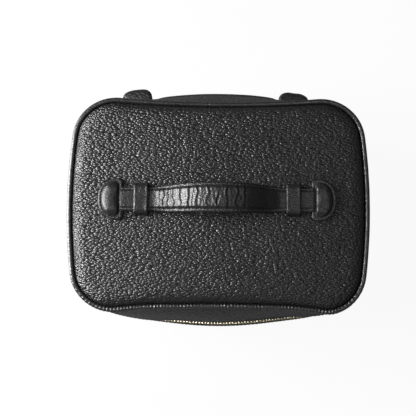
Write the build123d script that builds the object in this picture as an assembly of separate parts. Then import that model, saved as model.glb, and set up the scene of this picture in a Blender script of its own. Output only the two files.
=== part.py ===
from build123d import *
import math
import os

os.makedirs("parts", exist_ok=True)

# Vanity case, in millimetres. The case stands on z = 0, its front faces -Y and its
# back, with the hinge, faces +Y. The origin is the middle of the base.

# Plan of the case: an outline of eight arcs, the outermost line of the case
half_width = 107.0
half_depth = 79.0
corner_radius = 32.0
side_bow = 2.6
base_draw_in = 2.5

# Heights of the case
base_leather_thickness = 1.4
board_thickness = 1.8
base_board_thickness = 3.0
lining_thickness = 0.8
leather_thickness = 1.4
wall_start = 4.7
body_spans = 5
zip_height = 116.0
lid_edge_height = 149.5

# How far the soft walls bow out of their corners, from the base to the lid edge
base_bow = 2.0
front_zip_bow = 11.2
back_zip_bow = 9.8
front_lid_bow = 7.0
back_lid_bow = 6.5
front_edge_bow = -5.0
back_edge_bow = -3.0

# Piping cord in the lid seam and the base seam
piping_radius = 2.0
piping_margin = 0.1
base_piping_height = 2.6
piping_slit = 0.3
piping_slit_place = -7.6

# Zip: tape, teeth and the bare gap between leather edges
zip_gap = 8.0
tape_thickness = 0.7
tape_hidden = 8.0
tape_edge_gap = 1.6
tooth_pitch = 2.3
tooth_width = 1.05
tooth_thickness = 1.8
tooth_reach = 0.5
tooth_length = 2.9
jaw_play = 0.28
tooth_start = 46.0
lid_zip_start = 76.0
tail_gap = 0.3

# Layers of the wall, as insets from the outermost outline
skin_inset = 1.6
fit_gap = 0.1

# Hinge strip across the back
hinge_half_width = 44.0
hinge_leaf_height = 12.0
hinge_skin_inset = 0.2

# Padded top of the lid
top_board_thickness = 2.5
top_inset = 4.2
top_crown_height = 159.0
top_crown_radius = 1500.0
top_edge_roll = 4.5
top_board_rise = 148.5

# Carrying handle on the lid
handle_x = -1.0
handle_y = 3.5
keeper_inner = 49.5
keeper_width = 9.5
keeper_depth = 23.4
keeper_wall = 1.8
keeper_slope = 2.0
keeper_foot = 2.0
neck_room = 1.35
neck_thickness = 3.4
neck_clearance = 0.45
neck_lift = 0.8
head_lift = 0.3
end_travel = 7.8
head_flat = 67.2
head_length = 17.6
head_width = 30.0
head_thickness = 4.8
arch_rise = 17.0
arch_lower_radius = 25.0
strap_thickness = 4.0
strap_end_width = 15.6
strap_middle_width = 19.6
grip_half_length = 24.0
strap_root = 46.5

# Zip slider, its pull, and the leather tabs over the two zip ends
slider_length = 9.0
slider_height = 7.2
slider_plate = 1.0
slider_clearance = 0.45
slider_rounding = 1.8
bail_length = 6.4
bail_height = 2.8
bail_width = 1.8
bail_wire = 0.9
pull_length = 19.0
pull_width = 6.0
pull_thickness = 1.1
pull_rounding = 1.6
pull_axis_drop = 1.4
pull_bar = 1.0
pull_eye_play = 0.35
tab_left_start = -70.0
tab_left_length = 21.0
tab_left_stand_off = 11.0
tab_right_start = 45.5
tab_right_length = 22.0
tab_right_stand_off = 8.5
tab_height = 9.0
tab_drop = 0.7
tab_rounding = 3.5

# Fittings inside
mirror_width = 118.0
mirror_depth = 84.0
mirror_corner = 16.0
mirror_rim = 5.0
mirror_rim_height = 3.0
mirror_glass_thickness = 2.0
pocket_half_width = 62.0
pocket_bottom = 16.0
pocket_top = 78.0
pocket_depth = 9.0
pocket_cloth = 1.0
elastic_height = 5.0

# Levels and insets that follow from the sizes above
zip_low_edge = zip_height - zip_gap / 2
zip_high_edge = zip_height + zip_gap / 2
skin_back = skin_inset + leather_thickness
tape_back = skin_back + tape_thickness
board_back = skin_back + board_thickness
lining_back = board_back + lining_thickness
piping_inset = piping_radius + piping_margin
wall_top = lid_edge_height - piping_radius
top_board_low = top_board_rise - top_board_thickness
top_lining_low = top_board_low - lining_thickness
base_board_top = base_leather_thickness + base_board_thickness


def circle_crossing(first, first_radius, second, second_radius, side_x, side_y):
    """The crossing of two circles that lies furthest towards one corner."""
    span_x = second[0] - first[0]
    span_y = second[1] - first[1]
    span = math.hypot(span_x, span_y)
    along = (first_radius ** 2 - second_radius ** 2 + span ** 2) / (2 * span)
    across = math.sqrt(max(first_radius ** 2 - along ** 2, 0))
    unit_x = span_x / span
    unit_y = span_y / span
    foot_x = first[0] + along * unit_x
    foot_y = first[1] + along * unit_y
    found = [
        (foot_x - across * unit_y, foot_y + across * unit_x),
        (foot_x + across * unit_y, foot_y - across * unit_x),
    ]
    return max(found, key=lambda p: side_x * p[0] + side_y * p[1])


def bow_radius(half_chord, bow):
    return (half_chord ** 2 + bow ** 2) / (2 * bow)


def towards(start, end, distance):
    span = math.hypot(end[0] - start[0], end[1] - start[1])
    return (
        start[0] + (end[0] - start[0]) / span * distance,
        start[1] + (end[1] - start[1]) / span * distance,
    )


def corner(level, inset, side_x, side_y):
    """One corner of the outline: its centre, and the ends and middle of its arc."""
    height, draw_in, front_bow, back_bow = level
    wide = half_width - draw_in
    deep = half_depth - draw_in
    bow = front_bow if side_y < 0 else back_bow
    end_radius = bow_radius(wide - corner_radius, bow)
    side_radius = bow_radius(deep - corner_radius, side_bow)
    end_centre = (0, side_y * (deep + bow - end_radius))
    side_centre = (side_x * (wide + side_bow - side_radius), 0)
    centre = circle_crossing(
        end_centre, abs(end_radius - corner_radius),
        side_centre, abs(side_radius - corner_radius), side_x, side_y,
    )
    on_end = towards(end_centre, centre, abs(end_radius - inset))
    on_side = towards(side_centre, centre, abs(side_radius - inset))
    middle = ((on_end[0] + on_side[0]) / 2, (on_end[1] + on_side[1]) / 2)
    on_corner = towards(centre, middle, corner_radius - inset)
    return centre, (on_end, on_corner, on_side)


def outline(level, inset):
    """The closed wire of eight tangent arcs at one level, drawn in by an inset."""
    height, draw_in, front_bow, back_bow = level
    wide = half_width - draw_in
    deep = half_depth - draw_in
    front_left, front_right, back_right, back_left = [
        corner(level, inset, side_x, side_y)[1]
        for side_x, side_y in [(-1, -1), (1, -1), (1, 1), (-1, 1)]
    ]
    front = (0, -(deep + front_bow - inset))
    back = (0, deep + back_bow - inset)
    right = (wide + side_bow - inset, 0)
    left = (-right[0], 0)
    arcs = [
        (front_left[0], front, front_right[0]),
        front_right,
        (front_right[2], right, back_right[2]),
        back_right[::-1],
        (back_right[0], back, back_left[0]),
        back_left,
        (back_left[2], left, front_left[2]),
        front_left[::-1],
    ]
    return Wire([ThreePointArc(*[(x, y, height) for x, y in arc]) for arc in arcs])


def body_level(share):
    """One level of the body's wall, at a share of its height from base to zip."""
    swell = math.sin(share * math.pi / 2)
    return (
        wall_start + share * (zip_height - wall_start),
        base_draw_in * (1 - share),
        base_bow + swell * (front_zip_bow - base_bow),
        base_bow + swell * (back_zip_bow - base_bow),
    )


base_level = body_level(0.0)
zip_level = body_level(1.0)
lid_level = ((zip_height + lid_edge_height) / 2, 0.0, front_lid_bow, back_lid_bow)
edge_level = (lid_edge_height, 0.0, front_edge_bow, back_edge_bow)
wall_levels = [body_level(k / body_spans) for k in range(body_spans + 1)]
wall_levels += [lid_level, edge_level]


def case_block(inset):
    """The whole case as one block, inside of an inset from its outermost outline."""
    return Solid.make_loft([outline(level, inset) for level in wall_levels])


def slab(low, high, width=400, depth=400, x=0, y=0):
    return Pos(x, y, (low + high) / 2) * Box(width, depth, high - low)


block = {
    inset: case_block(inset)
    for inset in [
        hinge_skin_inset, skin_inset, skin_back, tape_back, board_back, lining_back,
        lining_back + pocket_depth - pocket_cloth, lining_back + pocket_depth,
    ]
}


def layer(outer, inner, low, high):
    """One layer of the wall between two insets and two levels."""
    return (block[outer] & slab(low, high)) - block[inner]


def plate(level, inset, low, high):
    """A flat plate with the outline of one level."""
    flat = (low,) + level[1:]
    return extrude(Face(outline(flat, inset)), high - low)


def piping(level, height):
    """A round cord along the outermost outline at one height."""
    path = outline((height,) + level[1:], piping_inset)
    start = path.edges()[0]
    section = Plane(start @ 0, z_dir=start % 0) * Circle(piping_radius)
    return sweep(section, path)


def save(shape, name):
    export_step(shape, f"parts/{name}.step")
    print(f"{name}: {len(shape.solids())} solids, {shape.volume:.0f} mm3")


def back_zone(half_span):
    """The middle of the back, out to a distance each side."""
    return slab(0, 400, width=2 * half_span, depth=100, y=half_depth + 10)


front_half = slab(0, 400, depth=200, y=-100)
back_half = slab(0, 400, depth=200, y=100)
hinge_zone = back_zone(hinge_half_width)
lid_zip_zone = back_zone(lid_zip_start)
tail_zone = back_zone(lid_zip_start - tail_gap)


def base():
    """The base: leather, board, lining and the piping in its seam."""
    save(plate(base_level, top_inset, 0, base_leather_thickness), "base_leather")
    board = plate(base_level, top_inset + fit_gap, base_leather_thickness, base_board_top)
    save(board, "base_board")
    lining = plate(
        base_level, board_back + fit_gap * 2, base_board_top,
        base_board_top + lining_thickness,
    )
    save(lining, "base_lining")
    save(piping(base_level, base_piping_height), "base_piping")


def body_walls():
    """The lower walls: front and back leather, board, lining and a bound rim."""
    leather = layer(skin_inset, skin_back, wall_start, zip_low_edge)
    save(leather - lid_zip_zone, "front_wall_leather")
    save(leather & lid_zip_zone, "back_wall_leather")
    rebate = layer(skin_back, tape_back, zip_low_edge - tape_hidden, zip_low_edge)
    board = layer(skin_back, board_back, wall_start, zip_low_edge) - rebate
    save(board, "wall_board")
    lining_low = base_board_top + lining_thickness + fit_gap
    save(layer(board_back, lining_back, lining_low, zip_low_edge), "wall_lining")
    rim = layer(tape_back, lining_back, zip_low_edge, zip_low_edge + leather_thickness)
    save(rim, "rim_binding")


def lid_walls():
    """The lid's walls: leather, board and lining, and a bound rim."""
    save(layer(skin_inset, skin_back, zip_high_edge, wall_top), "lid_wall_leather")
    rebate = layer(skin_back, tape_back, zip_high_edge, zip_high_edge + tape_hidden)
    board = layer(skin_back, board_back, zip_high_edge, top_board_low) - rebate
    save(board, "lid_wall_board")
    save(layer(board_back, lining_back, zip_high_edge, top_lining_low), "lid_wall_lining")
    rim = layer(tape_back, lining_back, zip_high_edge - leather_thickness, zip_high_edge)
    save(rim, "lid_rim_binding")


def crown(extra_inset, sink):
    """The padded top of the lid, drawn in and sunk to give each of its layers."""
    block_top = plate(edge_level, top_inset + extra_inset, top_board_rise, 200)
    ball = Pos(0, 0, top_crown_height - top_crown_radius) * Sphere(top_crown_radius - sink)
    body = block_top & ball
    top_face = body.faces().sort_by(Axis.Z)[-1]
    return fillet(top_face.edges(), top_edge_roll - sink)


def crown_at(x, y):
    """The height of the lid's padded top over one place."""
    reach = math.sqrt(top_crown_radius ** 2 - x ** 2 - y ** 2)
    return top_crown_height - top_crown_radius + reach


def lid_top(crown_outer):
    """The lid's top: board, lining, pad, leather and the piping in its seam."""
    pad = crown(leather_thickness, leather_thickness)
    save(crown_outer - pad, "lid_top_leather")
    save(pad, "lid_top_pad")
    board = plate(edge_level, top_inset + fit_gap, top_board_low, top_board_rise)
    save(board, "lid_top_board")
    lining = plate(edge_level, lining_back + fit_gap, top_lining_low, top_board_low)
    save(lining, "lid_top_lining")
    cord = piping(edge_level, lid_edge_height)
    slit = slab(
        0, 400, width=piping_slit, depth=20, x=piping_slit_place,
        y=half_depth + back_edge_bow - piping_inset,
    )
    save(cord - slit, "lid_piping")


def mirror():
    """The mirror under the lid, in a padded frame."""
    rim_low = top_lining_low - mirror_rim_height
    outer = RectangleRounded(mirror_width, mirror_depth, mirror_corner)
    inner = RectangleRounded(
        mirror_width - 2 * mirror_rim, mirror_depth - 2 * mirror_rim,
        mirror_corner - mirror_rim,
    )
    frame = extrude(Pos(0, 0, rim_low) * (outer - inner), mirror_rim_height)
    lip = extrude(
        Pos(0, 0, top_lining_low - mirror_glass_thickness)
        * offset(inner, mirror_rim / 2, kind=Kind.INTERSECTION),
        mirror_glass_thickness,
    )
    frame = frame - lip
    glass_face = offset(inner, mirror_rim / 2 - fit_gap, kind=Kind.INTERSECTION)
    glass = extrude(
        Pos(0, 0, top_lining_low - mirror_glass_thickness + fit_gap) * glass_face,
        mirror_glass_thickness - fit_gap,
    )
    save(frame, "mirror_frame")
    save(glass, "mirror_glass")


def pocket(name, half):
    """An elastic-topped pocket along one inner wall."""
    cloth_back = lining_back + pocket_depth
    cloth_front = cloth_back - pocket_cloth
    space = slab(pocket_bottom, pocket_top, width=2 * pocket_half_width) & half
    bag = (block[lining_back] & space) - block[cloth_back]
    hollow_space = slab(
        pocket_bottom + pocket_cloth, pocket_top + 1,
        width=2 * (pocket_half_width - pocket_cloth),
    )
    hollow = ((block[lining_back] & hollow_space) & half) - block[cloth_front]
    bag = bag - hollow
    edge = slab(pocket_top - elastic_height, pocket_top, width=2 * pocket_half_width)
    save(bag - edge, name)
    save(bag & edge, f"{name}_elastic")


def tooth_places(inset):
    """Even places and headings round the whole zip line, an even number of them."""
    line = outline(zip_level, inset)
    count = 2 * round(line.length / tooth_pitch)
    for k in range(count):
        place = line @ (k / count)
        heading = line % (k / count)
        yield place.X, place.Y, math.degrees(math.atan2(heading.Y, heading.X))


def tooth(x, y, turn, low):
    """One tooth, crimped on the edge of its tape."""
    side = 1 if low else -1
    centre = zip_height + side * (tooth_reach - tooth_length / 2)
    tape_centre = zip_height - side * (tape_edge_gap / 2 + tooth_length / 2)
    body = Box(tooth_width, tooth_thickness, tooth_length)
    jaw = Box(2 * tooth_width, tape_thickness + 2 * jaw_play, tooth_length)
    jaw = Pos(0, 0, tape_centre - centre) * jaw
    return Pos(x, y, centre) * Rot(0, 0, turn) * (body - jaw)


def zip_chain():
    """The zip: two tapes, and teeth that stand turn about on the two."""
    middle_inset = skin_back + tape_thickness / 2
    tape_low = zip_low_edge - tape_hidden
    tape_high = zip_high_edge + tape_hidden
    lower = layer(skin_back, tape_back, tape_low, zip_height - tape_edge_gap / 2)
    upper = layer(skin_back, tape_back, zip_height + tape_edge_gap / 2, tape_high)
    save(lower - hinge_zone, "zip_tape_lower")
    save(upper - lid_zip_zone, "zip_tape_upper")
    tails = upper & slab(0, zip_high_edge - tail_gap) & tail_zone
    save(tails - hinge_zone, "zip_tape_tails")
    teeth = {"zip_teeth_lower": [], "zip_teeth_upper": [], "zip_teeth_tails": []}
    for k, (x, y, turn) in enumerate(tooth_places(middle_inset)):
        if y > 0 and abs(x) < tooth_start:
            continue
        name = "zip_teeth_lower" if k % 2 == 0 else "zip_teeth_upper"
        if k % 2 and y > 0 and abs(x) < lid_zip_start:
            name = "zip_teeth_tails"
        teeth[name] += tooth(x, y, turn, k % 2 == 0).solids()
    for name, solids in teeth.items():
        save(Compound(children=solids), name)


def hinge():
    """The leather hinge across the back, in two leaves that meet at the zip line."""
    leaf = block[hinge_skin_inset] & hinge_zone
    leaf = leaf - block[skin_inset]
    low = leaf & slab(zip_height - hinge_leaf_height, zip_height - fit_gap)
    high = leaf & slab(zip_height + fit_gap, zip_height + hinge_leaf_height)
    save(low, "hinge_lower_leaf")
    save(high, "hinge_upper_leaf")


def neck_low_level():
    """The underside of the handle's necks, just over the lid."""
    return crown_at(keeper_inner, handle_y) + neck_lift


def keeper(side):
    """A leather loop over the handle, with its feet on the lid."""
    x = handle_x + side * (keeper_inner + keeper_width / 2)
    low = crown_at(x, handle_y) - keeper_foot
    roof = neck_low_level() + neck_thickness + neck_clearance
    high = roof + keeper_wall
    opening = strap_end_width + 2 * neck_room
    loop = slab(low, high, width=keeper_width, depth=keeper_depth, x=x, y=handle_y)
    crest = loop.faces().sort_by(Axis.Z)[-1].edges().filter_by(Axis.X)
    loop = chamfer(crest, keeper_slope)
    hole = slab(low - 1, roof, width=keeper_width + 1, depth=opening, x=x, y=handle_y)
    return (loop - hole) - crown_outer


def arch_angle():
    return 2 * math.atan2(arch_rise, strap_root)


def arch_face():
    """The side view of the arched strap: three tangent arcs, at its full thickness."""
    turn = arch_angle()
    upper_radius = strap_root / math.sin(turn) - arch_lower_radius
    root_z = neck_low_level() + neck_thickness / 2
    half = strap_thickness / 2
    lower_centre_z = root_z + arch_lower_radius
    upper_centre_z = root_z + arch_rise - upper_radius
    edges = []
    rails = []
    for side in (1, -1):
        lower = arch_lower_radius - side * half
        upper = upper_radius + side * half

        def on_lower(angle, sign, lower=lower):
            return (
                handle_x + sign * (strap_root - lower * math.sin(angle)),
                0, lower_centre_z - lower * math.cos(angle),
            )

        def on_upper(angle, upper=upper):
            return (
                handle_x + upper * math.sin(angle), 0,
                upper_centre_z + upper * math.cos(angle),
            )

        rail = [
            ThreePointArc(on_lower(0, -1), on_lower(turn / 2, -1), on_lower(turn, -1)),
            ThreePointArc(on_upper(-turn), on_upper(0), on_upper(turn)),
            ThreePointArc(on_lower(turn, 1), on_lower(turn / 2, 1), on_lower(0, 1)),
        ]
        rails.append(rail)
    edges += rails[0]
    edges.append(Line(rails[0][2] @ 1, rails[1][2] @ 1))
    edges += rails[1]
    edges.append(Line(rails[1][0] @ 0, rails[0][0] @ 0))
    return Face(Wire(edges))


def handle():
    """The handle: grip, two bending stretches, and two necks with D-shaped heads."""
    band = extrude(arch_face(), strap_middle_width, both=True)
    end_half = strap_end_width / 2
    middle_half = strap_middle_width / 2
    plan = Wire([
        ThreePointArc(
            (handle_x - strap_root, handle_y - end_half), (handle_x, handle_y - middle_half),
            (handle_x + strap_root, handle_y - end_half),
        ),
        Line(
            (handle_x + strap_root, handle_y - end_half),
            (handle_x + strap_root, handle_y + end_half),
        ),
        ThreePointArc(
            (handle_x + strap_root, handle_y + end_half), (handle_x, handle_y + middle_half),
            (handle_x - strap_root, handle_y + end_half),
        ),
        Line(
            (handle_x - strap_root, handle_y + end_half),
            (handle_x - strap_root, handle_y - end_half),
        ),
    ])
    strap = band & extrude(Face(plan), 400)
    grip_zone = slab(0, 400, width=2 * grip_half_length, x=handle_x)
    save(strap & grip_zone, "handle_grip")
    rest = strap - grip_zone
    left_zone = slab(0, 400, width=200, x=handle_x - 100)
    save(rest & left_zone, "handle_strap_left")
    save(rest - left_zone, "handle_strap_right")
    for side, name in [(-1, "left"), (1, "right")]:
        low = neck_low_level()
        neck_span = head_flat - strap_root
        neck = Pos(handle_x + side * (strap_root + neck_span / 2 + fit_gap / 2), handle_y,
                   low + neck_thickness / 2) * Box(
            neck_span + fit_gap, strap_end_width, neck_thickness
        )
        head_middle = head_length - head_width / 2
        half = head_width / 2
        flat_x = handle_x + side * head_flat
        arc_x = flat_x + side * head_middle
        tip_x = flat_x + side * head_length
        face = Face(Wire([
            Line((flat_x, handle_y - half), (flat_x, handle_y + half)),
            Line((flat_x, handle_y + half), (arc_x, handle_y + half)),
            ThreePointArc((arc_x, handle_y + half), (tip_x, handle_y), (arc_x, handle_y - half)),
            Line((arc_x, handle_y - half), (flat_x, handle_y - half)),
        ]))
        head_low = crown_at(head_flat - end_travel, handle_y) + head_lift
        head = extrude(Pos(0, 0, head_low) * face, head_thickness, dir=(0, 0, 1))
        top_edges = head.faces().sort_by(Axis.Z)[-1].edges()
        head = fillet(top_edges, head_thickness * 0.3)
        save(neck + head, f"handle_end_{name}")


def slider():
    """The zip slider: two plates about the teeth at the start of the back left
    corner, a bail on the outer plate, and a pull that hangs from the bail."""
    middle_inset = skin_back + tape_thickness / 2
    centre, arc = corner(zip_level, middle_inset, -1, 1)
    start = arc[0]
    heading = math.degrees(math.atan2(start[1] - centre[1], start[0] - centre[0])) - 90
    place = Pos(start[0], start[1], zip_height) * Rot(0, 0, heading)
    shift = tooth_thickness / 2 + slider_clearance + slider_plate / 2
    outer = Pos(0, shift, 0) * Box(slider_length, slider_plate, slider_height)
    outer = fillet(outer.edges().filter_by(Axis.Y), slider_rounding)
    inner_height = zip_gap - 2 * leather_thickness - 2 * slider_clearance
    inner = Pos(0, -shift, 0) * Box(slider_length, slider_plate, inner_height)
    inner = fillet(inner.edges().filter_by(Axis.Y), slider_rounding)
    face = shift + slider_plate / 2
    eye_depth = bail_height - bail_wire
    bail = Pos(0, face + bail_height / 2, 0) * Box(bail_width, bail_height, bail_length)
    eye = Pos(0, face + eye_depth / 2, 0) * Box(
        bail_width + 1, eye_depth, bail_length - 2 * bail_wire
    )
    outer = outer + (bail - eye)
    save(Compound(children=[place * outer, place * inner]), "zip_slider")
    axis = place * Pos(0, face + eye_depth / 2, -pull_axis_drop)
    reach = math.hypot(eye_depth / 2 + bail_wire, bail_length / 2 - pull_axis_drop)
    top = pull_bar / 2
    eye_low = -reach - pull_thickness / 2 - pull_eye_play
    plate_body = Pos(0, 0, top - pull_length / 2) * Box(
        pull_width, pull_thickness, pull_length
    )
    plate_body = fillet(plate_body.edges().filter_by(Axis.Y), pull_rounding)
    eye_hole = Pos(0, 0, (eye_low - top) / 2) * Box(
        bail_width + 2 * pull_eye_play, pull_thickness + 1, -top - eye_low
    )
    save(axis * (plate_body - eye_hole), "zip_pull")
    half_travel = math.asin(math.dist(arc[0], arc[2]) / 2 / (corner_radius - middle_inset))
    print("slider turns about", centre, "by", round(math.degrees(2 * half_travel), 2))
    print("pull turns about", axis.position)


def end_tab(name, start, length, stand_off):
    """A folded leather tab over one end of the zip, standing off the back wall."""
    high = zip_height - tab_drop
    low = high - tab_height
    body = slab(
        low, high, width=length, depth=2 * stand_off, x=start + length / 2,
        y=tab_wall_y(start + length / 2),
    )
    outer = body.edges().filter_by(Axis.Z).group_by(Axis.Y)[-1]
    body = fillet(outer, tab_rounding)
    save(body - block[skin_inset], name)


def tab_wall_y(x):
    """Where the back wall's leather lies at one x, level with the zip."""
    radius = bow_radius(half_width - corner_radius, back_zip_bow)
    centre = half_depth + back_zip_bow - radius
    return centre + math.sqrt((radius - skin_inset) ** 2 - x ** 2)


crown_outer = crown(0, 0)
base()
body_walls()
lid_walls()
lid_top(crown_outer)
mirror()
pocket("pocket_front", front_half)
pocket("pocket_back", back_half)
zip_chain()
hinge()
save(keeper(-1), "keeper_left")
save(keeper(1), "keeper_right")
handle()
slider()
end_tab("zip_end_tab_left", tab_left_start, tab_left_length, tab_left_stand_off)
end_tab("zip_end_tab_right", tab_right_start, tab_right_length, tab_right_stand_off)
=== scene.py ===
# %% [markdown]
# Vanity case, seen from above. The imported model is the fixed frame: its pieces say where
# everything sits, and this lesson dresses them with leather, thread, zip teeth and cloth.
# All lengths here are in metres, and mm() turns a size in millimetres into them.

import bmesh
import bpy
import math
from mathutils import Matrix, Vector, noise


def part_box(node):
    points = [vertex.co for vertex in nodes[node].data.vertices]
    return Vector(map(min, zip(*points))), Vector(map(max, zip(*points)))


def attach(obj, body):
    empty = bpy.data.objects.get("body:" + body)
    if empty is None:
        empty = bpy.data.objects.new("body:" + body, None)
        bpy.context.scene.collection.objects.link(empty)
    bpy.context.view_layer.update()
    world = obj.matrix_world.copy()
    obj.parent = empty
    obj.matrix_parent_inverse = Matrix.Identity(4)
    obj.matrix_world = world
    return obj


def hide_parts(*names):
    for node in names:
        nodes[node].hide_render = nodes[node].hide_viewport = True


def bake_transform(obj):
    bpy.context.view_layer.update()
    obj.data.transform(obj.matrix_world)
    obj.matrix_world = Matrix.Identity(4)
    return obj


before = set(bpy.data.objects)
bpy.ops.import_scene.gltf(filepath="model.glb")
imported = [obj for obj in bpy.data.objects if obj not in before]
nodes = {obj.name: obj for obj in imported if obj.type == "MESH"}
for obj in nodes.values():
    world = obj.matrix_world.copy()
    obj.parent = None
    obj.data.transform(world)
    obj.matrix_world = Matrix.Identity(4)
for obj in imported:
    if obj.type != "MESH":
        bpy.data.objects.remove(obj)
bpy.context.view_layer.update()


def mm(size):
    return size / 1000.0


def ease(share):
    """A soft step: 0 below 0, 1 above 1, and a gentle rise between."""
    t = min(max(share, 0.0), 1.0)
    return t * t * (3 - 2 * t)


print("nodes in the frame:", len(nodes))

# %% [markdown]
# The case has one plan: an outline of eight arcs that touch smoothly, with bowed sides
# between round corners. The same rule, with the sizes of the real case, gives the line of
# every wall, seam and zip at any height, so all the soft pieces agree with each other.

# %% Sizes of the case
HALF_WIDTH = mm(107.0)
HALF_DEPTH = mm(79.0)
CORNER = mm(32.0)
SIDE_BOW = mm(2.6)
BASE_DRAW_IN = mm(2.5)
BASE_BOW = mm(2.0)
# How far the front and the back bow out: at the zip, half way up the lid and at its edge
FRONT_BOWS = (mm(11.2), mm(7.0), mm(-5.0))
BACK_BOWS = (mm(9.8), mm(6.5), mm(-3.0))
WALL_START = mm(4.7)
ZIP_Z = mm(116.0)
ZIP_HALF_GAP = mm(4.0)
RIM_LOW = ZIP_Z - ZIP_HALF_GAP
RIM_HIGH = ZIP_Z + ZIP_HALF_GAP
EDGE_Z = mm(149.5)
SKIN = mm(1.6)
LEATHER = mm(1.4)
print("height of the lid over the zip, mm:", round(1000 * (EDGE_Z - ZIP_Z), 1))


# %% Bows and crossing circles
def bow_radius(half_chord, bow):
    return (half_chord ** 2 + bow ** 2) / (2 * bow)


def circle_crossing(a, ra, b, rb, side_x, side_y):
    """The crossing of two circles that lies furthest towards one corner."""
    across = b - a
    span = across.length
    along = (ra ** 2 - rb ** 2 + span ** 2) / (2 * span)
    off = math.sqrt(max(ra ** 2 - along ** 2, 0.0))
    unit = across / span
    foot = a + unit * along
    normal = Vector((-unit.y, unit.x))
    found = [foot + normal * off, foot - normal * off]
    return max(found, key=lambda p: side_x * p.x + side_y * p.y)


def level_at(z):
    """How far the outline is drawn in and bowed at one height."""
    if z <= ZIP_Z:
        share = max((z - WALL_START) / (ZIP_Z - WALL_START), 0.0)
        swell = math.sin(share * math.pi / 2)
        bows = [BASE_BOW + swell * (bow[0] - BASE_BOW) for bow in (FRONT_BOWS, BACK_BOWS)]
        return BASE_DRAW_IN * (1 - share), *bows
    t = min((z - ZIP_Z) / (EDGE_Z - ZIP_Z), 1.0)
    weights = ((2 * t - 1) * (t - 1), 4 * t * (1 - t), t * (2 * t - 1))
    bows = [sum(w * b for w, b in zip(weights, bow)) for bow in (FRONT_BOWS, BACK_BOWS)]
    return 0.0, *bows


print("bow of the front at the zip, mm:", round(1000 * level_at(ZIP_Z)[1], 1))

# %% [markdown]
# Worn leather leaves its plan a little. At the front the lid's lower edge has sunk in
# behind the zip, which is why the teeth can be seen from above. A short table of heights
# says how far each part has moved, and values between two heights are blended.

# %% Settled leather
# Height, then how far the ledge, flanks, corners and right corner have moved, in mm
SETTLING = (
    (40.0, 0.0, 0.0, 0.0, 0.0), (112.0, 0.3, 2.7, 0.0, 0.8), (114.0, 1.0, 2.6, 0.0, 0.8),
    (118.0, 1.0, 2.6, 0.0, 0.8), (120.0, 4.2, 2.4, 0.0, 0.8), (149.5, 0.0, 0.0, 1.6, 1.6),
)
SETTLED_FROM = mm(35.0)
SETTLED_OVER = mm(40.0)
LEDGE_MIDDLE = mm(11.0)
LEDGE_HALF = mm(30.0)
LEDGE_FADE = mm(38.0)
FLANK_AT = mm(80.0)
FLANK_SPREAD = mm(26.0)
CORNER_FROM = mm(15.0)
CORNER_OVER = mm(50.0)
RIGHT_FROM = mm(70.0)
RIGHT_OVER = mm(15.0)


def settled(place, z):
    """The place of worn leather: at the front the lid's lower edge draws in behind the
    zip, the flanks stand out a little, and the lid's front corners have shrunk back."""
    front = ease((-place.y - SETTLED_FROM) / SETTLED_OVER)
    if front == 0.0:
        return place
    ledge = 1 - ease((abs(place.x - LEDGE_MIDDLE) - LEDGE_HALF) / LEDGE_FADE)
    flank = math.exp(-((abs(place.x) - FLANK_AT) / FLANK_SPREAD) ** 2)
    corner = ease((abs(place.x) - CORNER_FROM) / CORNER_OVER)
    right = ease((place.x - RIGHT_FROM) / RIGHT_OVER)
    above = next((k for k, row in enumerate(SETTLING) if z < mm(row[0])), len(SETTLING))
    lower = SETTLING[max(above - 1, 0)]
    upper = SETTLING[min(above, len(SETTLING) - 1)]
    share = min(max((z * 1000 - lower[0]) / max(upper[0] - lower[0], 1.0), 0.0), 1.0)
    amounts = [a + (b - a) * share for a, b in zip(lower[1:], upper[1:])]
    move = mm(ledge * amounts[0] - flank * amounts[1] + corner * amounts[2] - right * amounts[3])
    return Vector((place.x, place.y + front * move))


print("heights at which the front has settled:", [row[0] for row in SETTLING])

# %% [markdown]
# The whole outline is then drawn: at one height, the centres of its eight arcs come from
# the bows, and an inset moves every arc inwards by the same amount, as a pattern maker
# draws a lining from its leather.

# %% The outline of eight arcs
LEAST_BOW = 1e-5
# Steps of each arc: front, corner, right side, corner, back, corner, left side, corner
ARC_STEPS = (72, 22, 44, 22, 72, 22, 44, 22)


def arc_points(centre, start, end, steps):
    """Points from start towards end along an arc, without its last point."""
    a = math.atan2(start.y - centre.y, start.x - centre.x)
    b = math.atan2(end.y - centre.y, end.x - centre.x)
    turn = (b - a + math.pi) % (2 * math.pi) - math.pi
    radius = (start - centre).length
    for k in range(steps):
        angle = a + turn * k / steps
        yield centre + Vector((math.cos(angle), math.sin(angle))) * radius


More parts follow.
